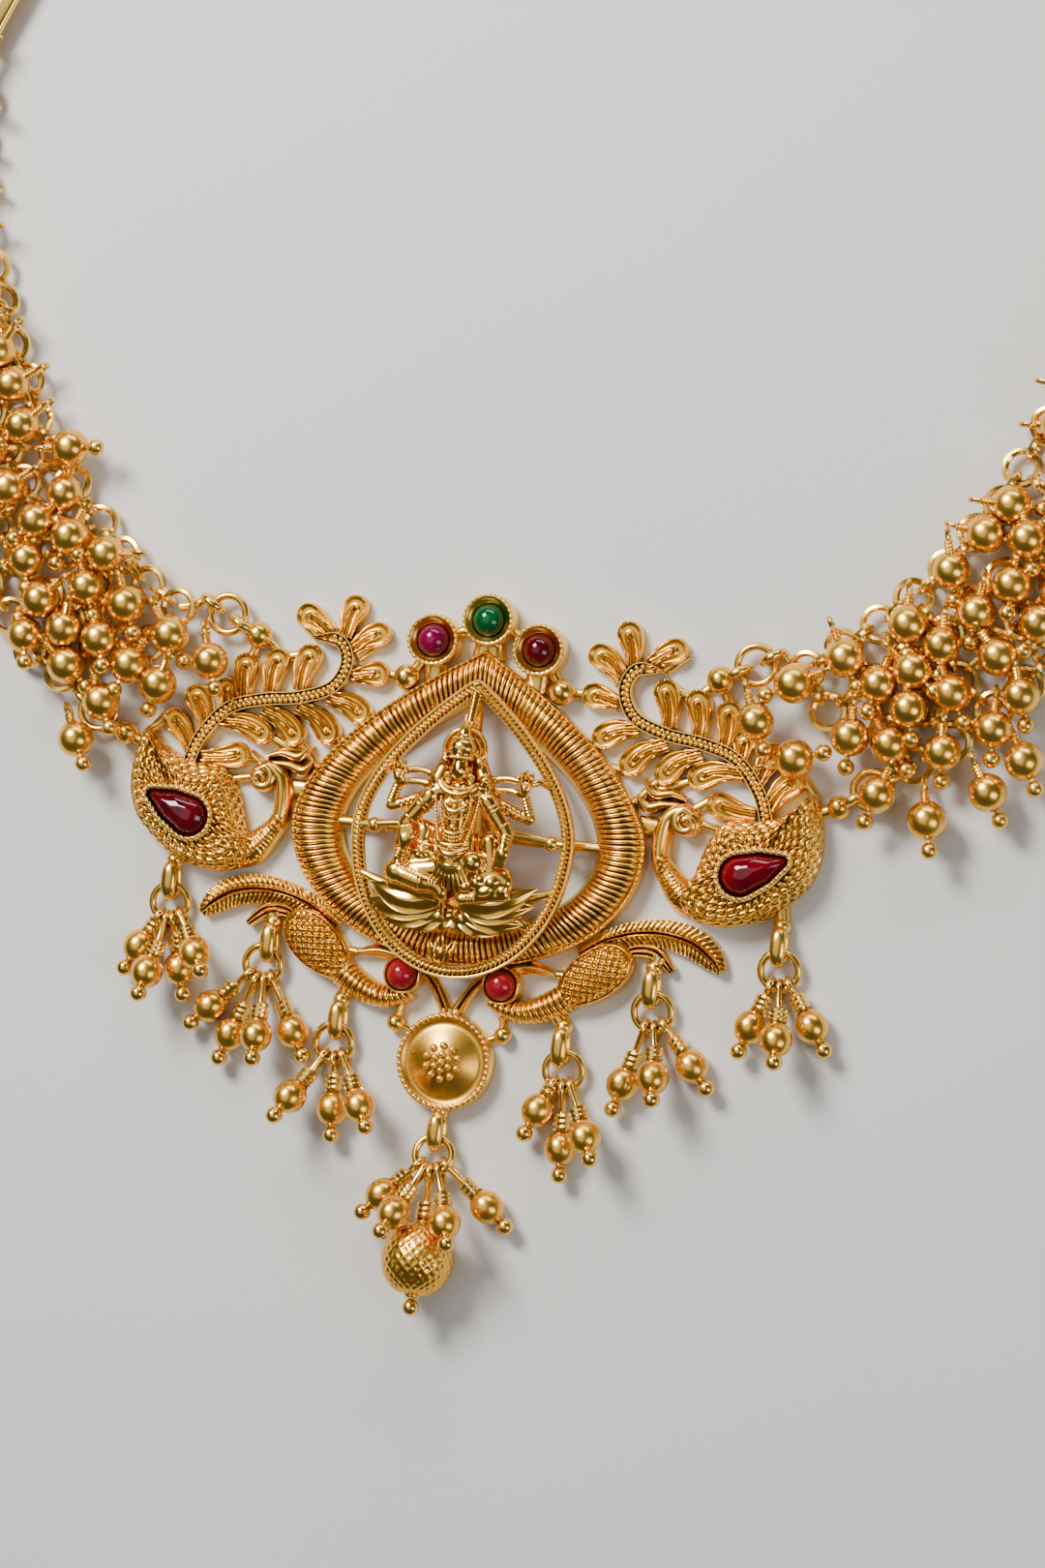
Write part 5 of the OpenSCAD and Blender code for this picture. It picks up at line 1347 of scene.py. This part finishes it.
def turn_z(a):
    t = math.radians(a)
    return np.array([[math.cos(t), -math.sin(t), 0], [math.sin(t), math.cos(t), 0], [0, 0, 1]])


def turn_y(a):
    t = math.radians(a)
    return np.array([[math.cos(t), 0, math.sin(t)], [0, 1, 0], [-math.sin(t), 0, math.cos(t)]])


CENTRE_PIN = (0, (centre_ball_d / 2 + 5) / bead_d, centre_ball_d / 2 / bead_d + 0.02)
pin_eye_r = jump_wire / 2 + fit_gap + pin_d / 2


def hung_bead(form, c, d, axis):
    """Hollow bead, a little longer than wide, with a small lip round each end of its bore."""
    axis = np.asarray(axis, float) / np.linalg.norm(axis)
    form.ball(c, d / 2, 24, 18, axis, 1.1)
    for s in (-1, 1):
        form.ring(c + axis * s * d * 0.52, axis, 0.42, 0.26, 18, 8)


def wire_pin(form, eye, tip, bead_top, side):
    """Pin that ends in a ball, its wire thick as drawn, with a long loop and coils above the bead."""
    wire = 1.5 * pin_d
    axis = (tip - eye) / np.linalg.norm(tip - eye)
    across_loop = np.cross(side, axis)
    # Loop: round over the jump ring's wire and narrowing to the coils
    coils = 3
    neck = bead_top - coils * 0.86 * wire - 0.1
    turn = np.linspace(-0.72 * math.pi, 0.72 * math.pi, 22)
    bow_r = pin_eye_r + 0.25 * pin_d
    bow = eye - axis * (bow_r * np.cos(turn))[:, None] + across_loop * (bow_r * np.sin(turn))[:, None]
    foot = eye + axis * neck
    form.tube(np.vstack([foot - across_loop * 0.1, bow, foot + across_loop * 0.1]), wire / 2, 9, up=side)
    form.tube([foot - axis * 0.1, tip], wire / 2, 9, up=side)
    f = frame_of(axis)
    t = np.linspace(0, 2 * math.pi * coils, 14 * coils + 1)
    rise = neck + 0.12 + t / (2 * math.pi) * wire * 0.86
    helix = eye + axis * rise[:, None] + wire * 0.98 * (np.cos(t)[:, None] * f[0] + np.sin(t)[:, None] * f[1])
    form.tube(helix, wire * 0.47, 6, up=axis)
    form.ball(tip, tip_d / 2, 16, 12, axis)


def drop(name, spec):
    """Jump ring that slopes from its bail to the height of its far side, with its pins and beads."""
    middle, turn, far_z, pins = spec
    near = bail_h / 2
    tilt = math.asin((near - far_z) / (2 * jump_r))
    origin = np.array([*(signed_at(middle) + (0, -ring_drop)), near])
    r = turn_z(turn)
    ring = Form()
    down = np.array([0, -math.cos(tilt), -math.sin(tilt)])
    face = np.array([0, -math.sin(tilt), math.cos(tilt)])
    ring.ring(origin + r @ (down * jump_r), r @ face, jump_r, jump_wire, 56, 16)
    wire_piece(f"{name}_ring", ring)
    wires, beads = Form(), Form()
    for pin in pins + ((CENTRE_PIN,) if name == "centre" else ()):
        big = pin is CENTRE_PIN
        a = math.radians(1.25 * pin[0])
        reach = -jump_r - jump_r * math.cos(a)
        eye = np.array([jump_r * math.sin(a), reach * math.cos(tilt), reach * math.sin(tilt)])
        height = pin[2] * bead_d - near - eye[2]
        rise = math.asin(height / math.hypot(pin[1] * bead_d, height))
        length = pin[1] * bead_d / math.cos(rise)
        m = turn_z(pin[0] - 90) @ turn_y(-math.degrees(rise))
        axis, side = m @ np.array([1.0, 0, 0]), m @ np.array([0, 1.0, 0])
        size = centre_ball_d if big else bead_d
        eye_w, axis_w, side_w = origin + r @ eye, r @ axis, r @ side
        tip = eye_w + axis_w * (length + size / 2 + 0.3 + tip_d / 2)
        bead = eye_w + axis_w * length
        wire_pin(wires, eye_w, tip, length - 0.54 * size, side_w)
        if big:
            patterned_ball(bead, axis_w)
        else:
            hung_bead(beads, bead, bead_d * 1.1, axis_w)
    wire_piece(f"{name}_pins", wires)
    piece(f"{name}_beads", beads, BEAD, "bead_gold", f"{name}_beads")


def patterned_ball(c, axis):
    """Hollow ball covered with a raised net, with plain caps at its ends."""
    form = Form()
    f = frame_of(axis)
    nu, nv = 160, 80
    t = np.linspace(0.09, math.pi - 0.09, nv)
    u = np.arange(nu) / nu * 2 * math.pi
    tt, uu = np.meshgrid(t, u, indexing="ij")
    lines = 22
    a = np.abs(np.sin((uu * lines + (tt - math.pi / 2) * lines) / 2))
    b = np.abs(np.sin((uu * lines - (tt - math.pi / 2) * lines) / 2))
    weave = 1 - np.minimum(a, b) ** 1.2
    plain = np.clip((np.abs(tt - math.pi / 2) - 1.02) / 0.06, 0, 1)
    knobs = bump(np.abs(tt - math.pi / 2), 1.13, 0.07) * np.abs(np.sin(uu * 9)) ** 0.6
    r = centre_ball_d / 2 * (0.965 + 0.035 * weave * (1 - plain) + 0.03 * knobs)
    long = 1.05
    local = np.stack([r * np.sin(tt) * np.cos(uu), r * np.sin(tt) * np.sin(uu), r * np.cos(tt) * long], -1)
    form.grid(local @ f + c, wrap_v=True, cap=True)
    for s in (-1, 1):
        form.ring(c + f[2] * s * centre_ball_d / 2 * 1.0, f[2], 0.62, 0.5, 28, 10)
    piece("centre_ball", form, BEAD, "bead_gold", "centre_ball")


# bands, links, chain and clasp

# Beads seen on each band: across and up, then the same for the tip of their pin
RIGHT_SEEN = [
    (31.6, 17.6, 29, 16.2), (28.2, 13.4, 29.2, 10.9), (32.5, 10, 35, 10.8), (37.7, 12.8, 37.6, 10.3),
    (40, 18.4, 39.5, 16.1), (42.3, 24.7, 42.5, 22.6), (43.2, 16.2, 43.7, 13.4), (47.3, 18.2, 48.4, 16),
    (47, 12.2, 47.1, 9.4), (41, 7.3, 40.2, 4.8), (46.2, 5.2, 46.8, 2.3), (51.8, 8.6, 52.9, 6.5),
    (51.7, 15, 51.8, 12.4), (55, 12.1, 56.3, 9.7), (54, 18.6, 54.6, 16), (48.9, 26.5, 48.6, 24),
    (55, 26, 54, 23.4), (52, 29.6, 52, 27.2), (46, 30.5, 46.4, 28.2), (53, 34.3, 53.6, 32),
]
LEFT_SEEN = [
    (-28.6, 14, -28, 12.2), (-33.2, 16.3, -32.2, 14.7), (-33.9, 11, -34.7, 9), (-38.2, 19.1, -37.5, 17.1),
    (-37.2, 12.8, -37.8, 11.3), (-40.7, 15.2, -40.2, 13.6), (-42.7, 20.5, -41.9, 18.1),
    (-44.6, 15.9, -44.8, 14.9), (-44, 12.1, -42.6, 10.8), (-39.8, 8.6, -38.5, 6.2), (-42.1, 4.4, -40.7, 1.9),
    (-47.6, 18.7, -49.3, 17), (-48.9, 27, -50.7, 25.1), (-49.5, 22.8, -49.2, 20.6),
    (-48.8, 14.8, -48.4, 12.8), (-46, 35, -43.5, 35.2),
]


# Rows of rings in a band and their spacing, then wire, radius and height of its flat rings and standing links
mesh_rows, ring_pitch = 4, 4.5
mesh_ring_wire, mesh_ring_r, mesh_ring_z = 0.8, 1.75, 1.5
mesh_link_wire, mesh_link_r, mesh_link_z = 0.75, 1.36, 1.72
taper_from, taper_w = 72, 2.6
link_reach = 6.2


def taper(a, row):
    """How far out a row moves where the band narrows towards its end."""
    near_end = np.clip((a - taper_from) / (band_end - taper_from), 0, 1)
    return taper_w * near_end * (1 - row / (mesh_rows - 1))


def real_across(x, z):
    """Across in the photograph to across on the necklace, for a point at height z."""
    return (x - 0.64 + 0.242 * z) / 0.97


def ring_places(s):
    """Middles of a band's rings, row by row from the inside out, a little uneven."""
    radii = [neck_r + 2.3 + (band_w - 4.6) * j / (mesh_rows - 1) for j in range(mesh_rows)]
    upper, lower = [wing_eye(*wing_ball) for wing_ball in WING_BALLS]
    past_lower = lower[1] + arc_angle(2 * jump_r, lower[0])
    start = [
        upper[1] + arc_angle(2 * jump_r, upper[0]) + arc_angle(2.6, radii[0]),
        past_lower - arc_angle(1.4, radii[1]),
        past_lower + arc_angle(2.2, radii[2]),
        past_lower + arc_angle(3.4, radii[3]),
    ]
    places = []
    for j, radius in enumerate(radii):
        count = int((band_end - start[j]) / arc_angle(ring_pitch, radius)) + 1
        step = (band_end - arc_angle(2.2, radius) - start[j]) / (count - 1)
        line = []
        for k in range(count):
            shift = rng.normal(0, 0.28, 3)
            a = start[j] + step * k + arc_angle(shift[1], radius)
            r = radius + shift[0] + taper(a, j)
            line.append(np.array([*(polar(r, a) * (s, 1)), mesh_ring_z + abs(shift[2]) * 0.4]))
        places.append(line)
    return places


def ring_mesh(form, places):
    """Rings, each linked to the next of its row and to the nearest of the row outside it."""
    for j, line in enumerate(places):
        for k, c in enumerate(line):
            lean = rng.normal(0, 0.13, 2)
            form.ring(c, (lean[0], lean[1], 1), mesh_ring_r, mesh_ring_wire, 20, 7)
            ends = line[k + 1 : k + 2]
            if j + 1 < mesh_rows:
                ends = ends + [min(places[j + 1], key=lambda q: np.linalg.norm(q - c))]
            for other in ends:
                if np.linalg.norm(other - c) < link_reach:
                    middle = (c + other) / 2
                    lie = np.cross(other - c, (0, 0, 1)) + rng.normal(0, 0.3, 3)
                    form.ring((middle[0], middle[1], mesh_link_z), lie, mesh_link_r, mesh_link_wire, 18, 6)


def bead_places(seen, places):
    """Middle and tip of each bead: those that the photograph shows, then one for each ring with none near."""
    beads = []
    for x, y, tx, ty in seen:
        z = 3.4 + 0.6 * rng.random()
        tip = np.array([real_across(tx, z), ty, z + rng.normal(0.2, 0.5)])
        beads.append((np.array([real_across(x, z), y, z]), tip))
    for j, line in enumerate(places):
        for c in line:
            for reach in (1.2,) if j == 0 else (1.2, -1.4):
                turn = rng.uniform(-50, 50)
                out = np.array([*(c[:2] - (0, loop_y)), 0])
                out /= np.linalg.norm(out)
                hang = turn_z(turn) @ out
                if j == mesh_rows - 1:
                    hang, reach = out, min(reach, 0.4)
                p = c + hang * reach
                p[2] = 3.1 + 0.9 * rng.random()
                if all(np.linalg.norm(p[:2] - q[0][:2]) > 0.85 * mesh_bead_d for q in beads):
                    beads.append((p, p + hang * 2.6 + (0, 0, rng.normal(0, 0.5))))
    return beads


def band_bead(form, c, tip):
    """Bead on its pin, with a ball at the tip, and coils and an eye at the mesh."""
    axis = (tip - c) / np.linalg.norm(tip - c)
    axis[2] = np.clip(axis[2], -0.35, 0.35)
    axis /= np.linalg.norm(axis)
    d = mesh_bead_d * rng.uniform(0.97, 1.04)
    form.ball(c, d / 2, 18, 13, axis)
    form.ring(c - axis * d * 0.485, axis, 0.42, 0.24, 12, 5)
    end = c + axis * (d / 2 + 0.2 + tip_d / 2)
    form.ball(end, tip_d / 2, 12, 9, axis)
    form.tube([c - axis * (d / 2 + 0.9), end], 0.26, 6)
    for k in range(3):
        form.ring(c - axis * (d / 2 + 0.22 + 0.36 * k), axis, 0.34, 0.38, 10, 5)
    eye = c - axis * (d / 2 + 1.65)
    eye[2] = max(eye[2] - 0.4, 1.1)
    form.ring(eye, np.cross(axis, (0, 0, 1)), 0.78, 0.46, 16, 6)


def end_plate(form, s):
    """Tapered plate from a band's end, with an eye for the back chain."""
    n, half_t = 72, 0.5
    eye = polar(chain_path_r, band_end + arc_angle(9, chain_path_r))
    near = [polar(neck_r + 3.0, band_end - 1), polar(neck_r + band_w - 2.4, band_end - 1)]
    outer = even(convex(np.vstack([round_line(eye, 2.7, 24), near])), n, closed=True)
    middle = outer.mean(0)
    hole = round_line(eye, 1.6, n)
    hole = np.roll(hole, -np.argmin(np.linalg.norm(hole - outer[0], axis=1)), 0)
    plate = []
    for share, z in ((0.92, -1), (1, -0.4), (1, 0.4), (0.95, 1)):
        plate.append((middle + (outer - middle) * share, z))
    plate += [(hole, 1), (hole, -1)]
    plate = [np.concatenate([line, np.full((n, 1), chain_z + z * half_t)], -1) for line, z in plate]
    form.grid(np.stack(plate, 0) * np.array([s, 1, 1]), wrap_u=True, wrap_v=True)


def wing_ties(form, s, places):
    """Eyes that hold the links to the wing, each tied to the nearest ring."""
    for ball, size in WING_BALLS:
        r, a = wing_eye(ball, size)
        a += arc_angle(2 * jump_r, r)
        standing_eye(form, r, a, s)
        c = polar(r, a) * (s, 1)
        nearest = min((q for line in places for q in line), key=lambda q: np.linalg.norm(q[:2] - c))
        root, half_way = polar(r, a + arc_angle(1.0, r)) * (s, 1), (c + nearest[:2]) / 2
        form.tube([(*root, 1.2), (*half_way, 1.2), (*nearest[:2], 1.1)], 0.55, 10)


def band(s, seen, name):
    """Mesh of flat rings joined by standing links, with a bead hung from almost every ring."""
    form, hung = Form(), Form()
    places = ring_places(s)
    ring_mesh(form, places)
    for c, tip in bead_places(seen, places):
        band_bead(hung, c, tip)
    end_plate(form, s)
    wing_ties(form, s, places)
    piece(f"{name}_mesh", form, WIRE, "wire_gold", name)
    piece(f"{name}_beads", hung, BEAD, "bead_gold", name)


def round_line(c, r, n):
    a = circle(n)
    return np.stack([c[0] + r * np.cos(a), c[1] + r * np.sin(a)], -1)


def turns_left(a, b, c):
    return (b[0] - a[0]) * (c[1] - a[1]) - (b[1] - a[1]) * (c[0] - a[0]) > 0


def convex(points):
    """Convex outline of points in the plane, anticlockwise."""
    pts = sorted(map(tuple, points))

    def half(seq):
        out = []
        for p in seq:
            while len(out) > 1 and not turns_left(out[-2], out[-1], p):
                out.pop()
            out.append(p)
        return out[:-1]

    return np.array(half(pts) + half(pts[::-1]))


def wire_piece(name, form):
    piece(name, form, WIRE, "wire_gold", name)


def links_and_chain():
    """Jump rings between the wings and the bands, and the cable chain behind each band."""
    for side, s in (("left", -1), ("right", 1)):
        for where, (ball, size) in zip(("upper", "lower"), WING_BALLS):
            r, a = wing_eye(ball, size)
            middle = polar(r, a + arc_angle(jump_r, r)) * (s, 1)
            form = Form()
            form.ring((*middle, eye_z), (0, 0, 1), jump_r, jump_wire, 56, 16)
            wire_piece(f"link_{side}_{where}", form)
        form = Form()
        start = band_end + arc_angle(9, chain_path_r) + arc_angle(chain_r, chain_path_r)
        end = 180 - arc_angle(chain_d + 0.5, chain_path_r) - arc_angle(chain_r, chain_path_r)
        count = math.ceil((end - start) / arc_angle(2 * chain_r - chain_wire - fit_gap, chain_path_r))
        for i in range(count + 1):
            a = start + (end - start) / count * i
            lean = math.radians(45 if i % 2 == 0 else -45)
            t = math.radians(a)
            # The link turns about the direction of the chain
            axis = np.array([math.sin(lean) * math.sin(t), -math.sin(lean) * math.cos(t), math.cos(lean)])
            middle = polar(chain_path_r, a) * (s, 1)
            form.ring((*middle, chain_z), axis * (s, 1, 1), chain_r, chain_wire, 32, 10)
        wire_piece(f"back_chain_{side}", form)


def clasp():
    """One bar with an eye at each end."""
    form = Form()
    half = polar(chain_path_r, 180 - arc_angle(chain_d + 0.5, chain_path_r))
    eye_r = clasp_eye_d / 2
    hole = eye_r - 1.2
    profile = [
        (hole, -0.4), (hole, 0.4), (hole + 0.15, 0.55), (eye_r - 0.2, 0.55), (eye_r, 0.35), (eye_r, -0.35),
        (eye_r - 0.2, -0.55), (hole + 0.15, -0.55), (hole, -0.4),
    ]
    for s in (-1, 1):
        form.revolve((s * half[0], half[1], chain_z), profile, 48)
    bar_end = half[0] - hole - 0.6
    form.tube([(x, half[1], chain_z) for x in (-bar_end, -1, 1, bar_end)], 0.55, 16)
    wire_piece("clasp", form)


# the object


def both(build):
    """One side's form and its mirror image."""
    one = build()
    form = Form()
    form.take(one)
    form.take(one, mirror=True)
    return form


piece("ribbed_ring", ribbed_ring(), CAST, "cast_gold", "pendant_frame")
for pair_name, one_side in (("plumes", plume), ("peacocks", peacock), ("mango_birds", mango_bird)):
    piece(pair_name, both(one_side), CAST, "cast_gold", "pendant_frame")
piece("cups_and_bails", fittings(), CAST, "cast_gold", "pendant_frame")
piece("disc", disc(), SATIN, "cast_gold", "pendant_frame")
piece("rope_frame", built(twisted_rope, rope_flange), CAST, "cast_gold", "figure_medallion")
piece("strut", strut(), CAST, "cast_gold", "figure_medallion")
body = melted("seated_figure", seated_body(), 0.165, 2)
piece("seated_figure", body, SHINE, "cast_gold", "figure_medallion", angle=180)
ornaments = built(crown_jewels, necklaces, girdle, bangles, cloth_folds, rosette, lotus)
piece("figure_ornaments", ornaments, SHINE, "cast_gold", "figure_medallion")
cabochon(at(TOP_CUP), top_stone_d, "stone_top_green", GREEN, "stone_green")
cabochon(at(SIDE_CUP) * (-1, 1), top_stone_d, "stone_top_left", MAGENTA, "stone_magenta")
cabochon(at(SIDE_CUP), top_stone_d, "stone_top_right", RED, "stone_red")
cabochon(at(LOW_CUP) * (-1, 1), low_stone_d, "stone_lower_left", PASTE, "stone_pink")
cabochon(at(LOW_CUP), low_stone_d, "stone_lower_right", PASTE, "stone_pink")
pear_stone(-1, "stone_pear_left", RUBY, "stone_ruby")
pear_stone(1, "stone_pear_right", RED, "stone_red")
for drop_name, drop_spec in DROPS.items():
    drop(drop_name, drop_spec)
band(1, RIGHT_SEEN, "band_right")
band(-1, LEFT_SEEN, "band_left")
links_and_chain()
clasp()

# floor, light and camera

floor_mat, floor_tree, floor_shader = nodes_of("floor")
floor_noise = node(floor_tree, "TexNoise", Scale=60)
floor_colour = mixed(floor_tree, floor_noise.outputs["Fac"], (0.66, 0.65, 0.63), (0.7, 0.69, 0.67))
floor_tree.links.new(floor_colour, floor_shader.inputs["Base Color"])
floor_shader.inputs["Roughness"].default_value = 0.6
floor_mesh = bpy.data.meshes.new("floor")
floor_half, floor_z = 2, -0.02 * MM
floor_corners = [(x * floor_half, y * floor_half, floor_z) for x, y in ((-1, -1), (1, -1), (1, 1), (-1, 1))]
floor_mesh.from_pydata(floor_corners, [], [(0, 1, 2, 3)])
floor_mesh.materials.append(floor_mat)
floor = bpy.data.objects.new("floor", floor_mesh)
bpy.context.scene.collection.objects.link(floor)

world = bpy.data.worlds.new("studio")
bpy.context.scene.world = world
world.use_nodes = True
background = world.node_tree.nodes["Background"]
background.inputs["Color"].default_value = (0.62, 0.64, 0.68, 1)
background.inputs["Strength"].default_value = 0.14


def softbox(name, place, target, size, watts, tint=(1, 1, 1)):
    """Rectangular light at a place, turned towards a target."""
    light = bpy.data.lights.new(name, "AREA")
    light.shape = "RECTANGLE"
    light.size, light.size_y = size
    light.energy = watts
    light.color = tint
    obj = bpy.data.objects.new(name, light)
    bpy.context.scene.collection.objects.link(obj)
    obj.location = place
    obj.rotation_euler = (Vector(target) - Vector(place)).to_track_quat("-Z", "Y").to_euler()


softbox("key", (-0.24, 0.3, 0.42), (0, 0.01, 0), (0.2, 0.2), 5.2, (1, 0.97, 0.92))
softbox("fill", (0.42, -0.1, 0.36), (0, 0.01, 0), (0.2, 0.3), 0.9, (1, 0.98, 0.95))
softbox("back", (0.05, 0.55, 0.22), (0, 0.03, 0), (0.5, 0.12), 1.3)
softbox("overhead", (-0.16, 0.06, 0.7), (0, 0.01, 0), (0.6, 0.6), 0.9)

# Angle that the camera leans to the right, its distance, and half the view's height there, in metres
camera_lean, distance, view_half_h = 14, 0.45, 0.081
camera_data = bpy.data.cameras.new("camera")
camera = bpy.data.objects.new("camera", camera_data)
bpy.context.scene.collection.objects.link(camera)
bpy.context.scene.camera = camera
lean = math.radians(camera_lean)
look = Vector((math.sin(lean), 0, math.cos(lean)))
image_up = Vector((-0.1078, 0.9942, 0))
right = image_up.cross(look).normalized()
upward = look.cross(right)
target = Vector((0.00534, 0.0046, 0.002))
place = Matrix((right, upward, look)).transposed().to_4x4()
place.translation = target + look * distance
camera.matrix_world = place
camera_data.sensor_fit = "VERTICAL"
camera_data.angle_y = 2 * math.atan(view_half_h / distance)
camera_data.clip_start = 0.01
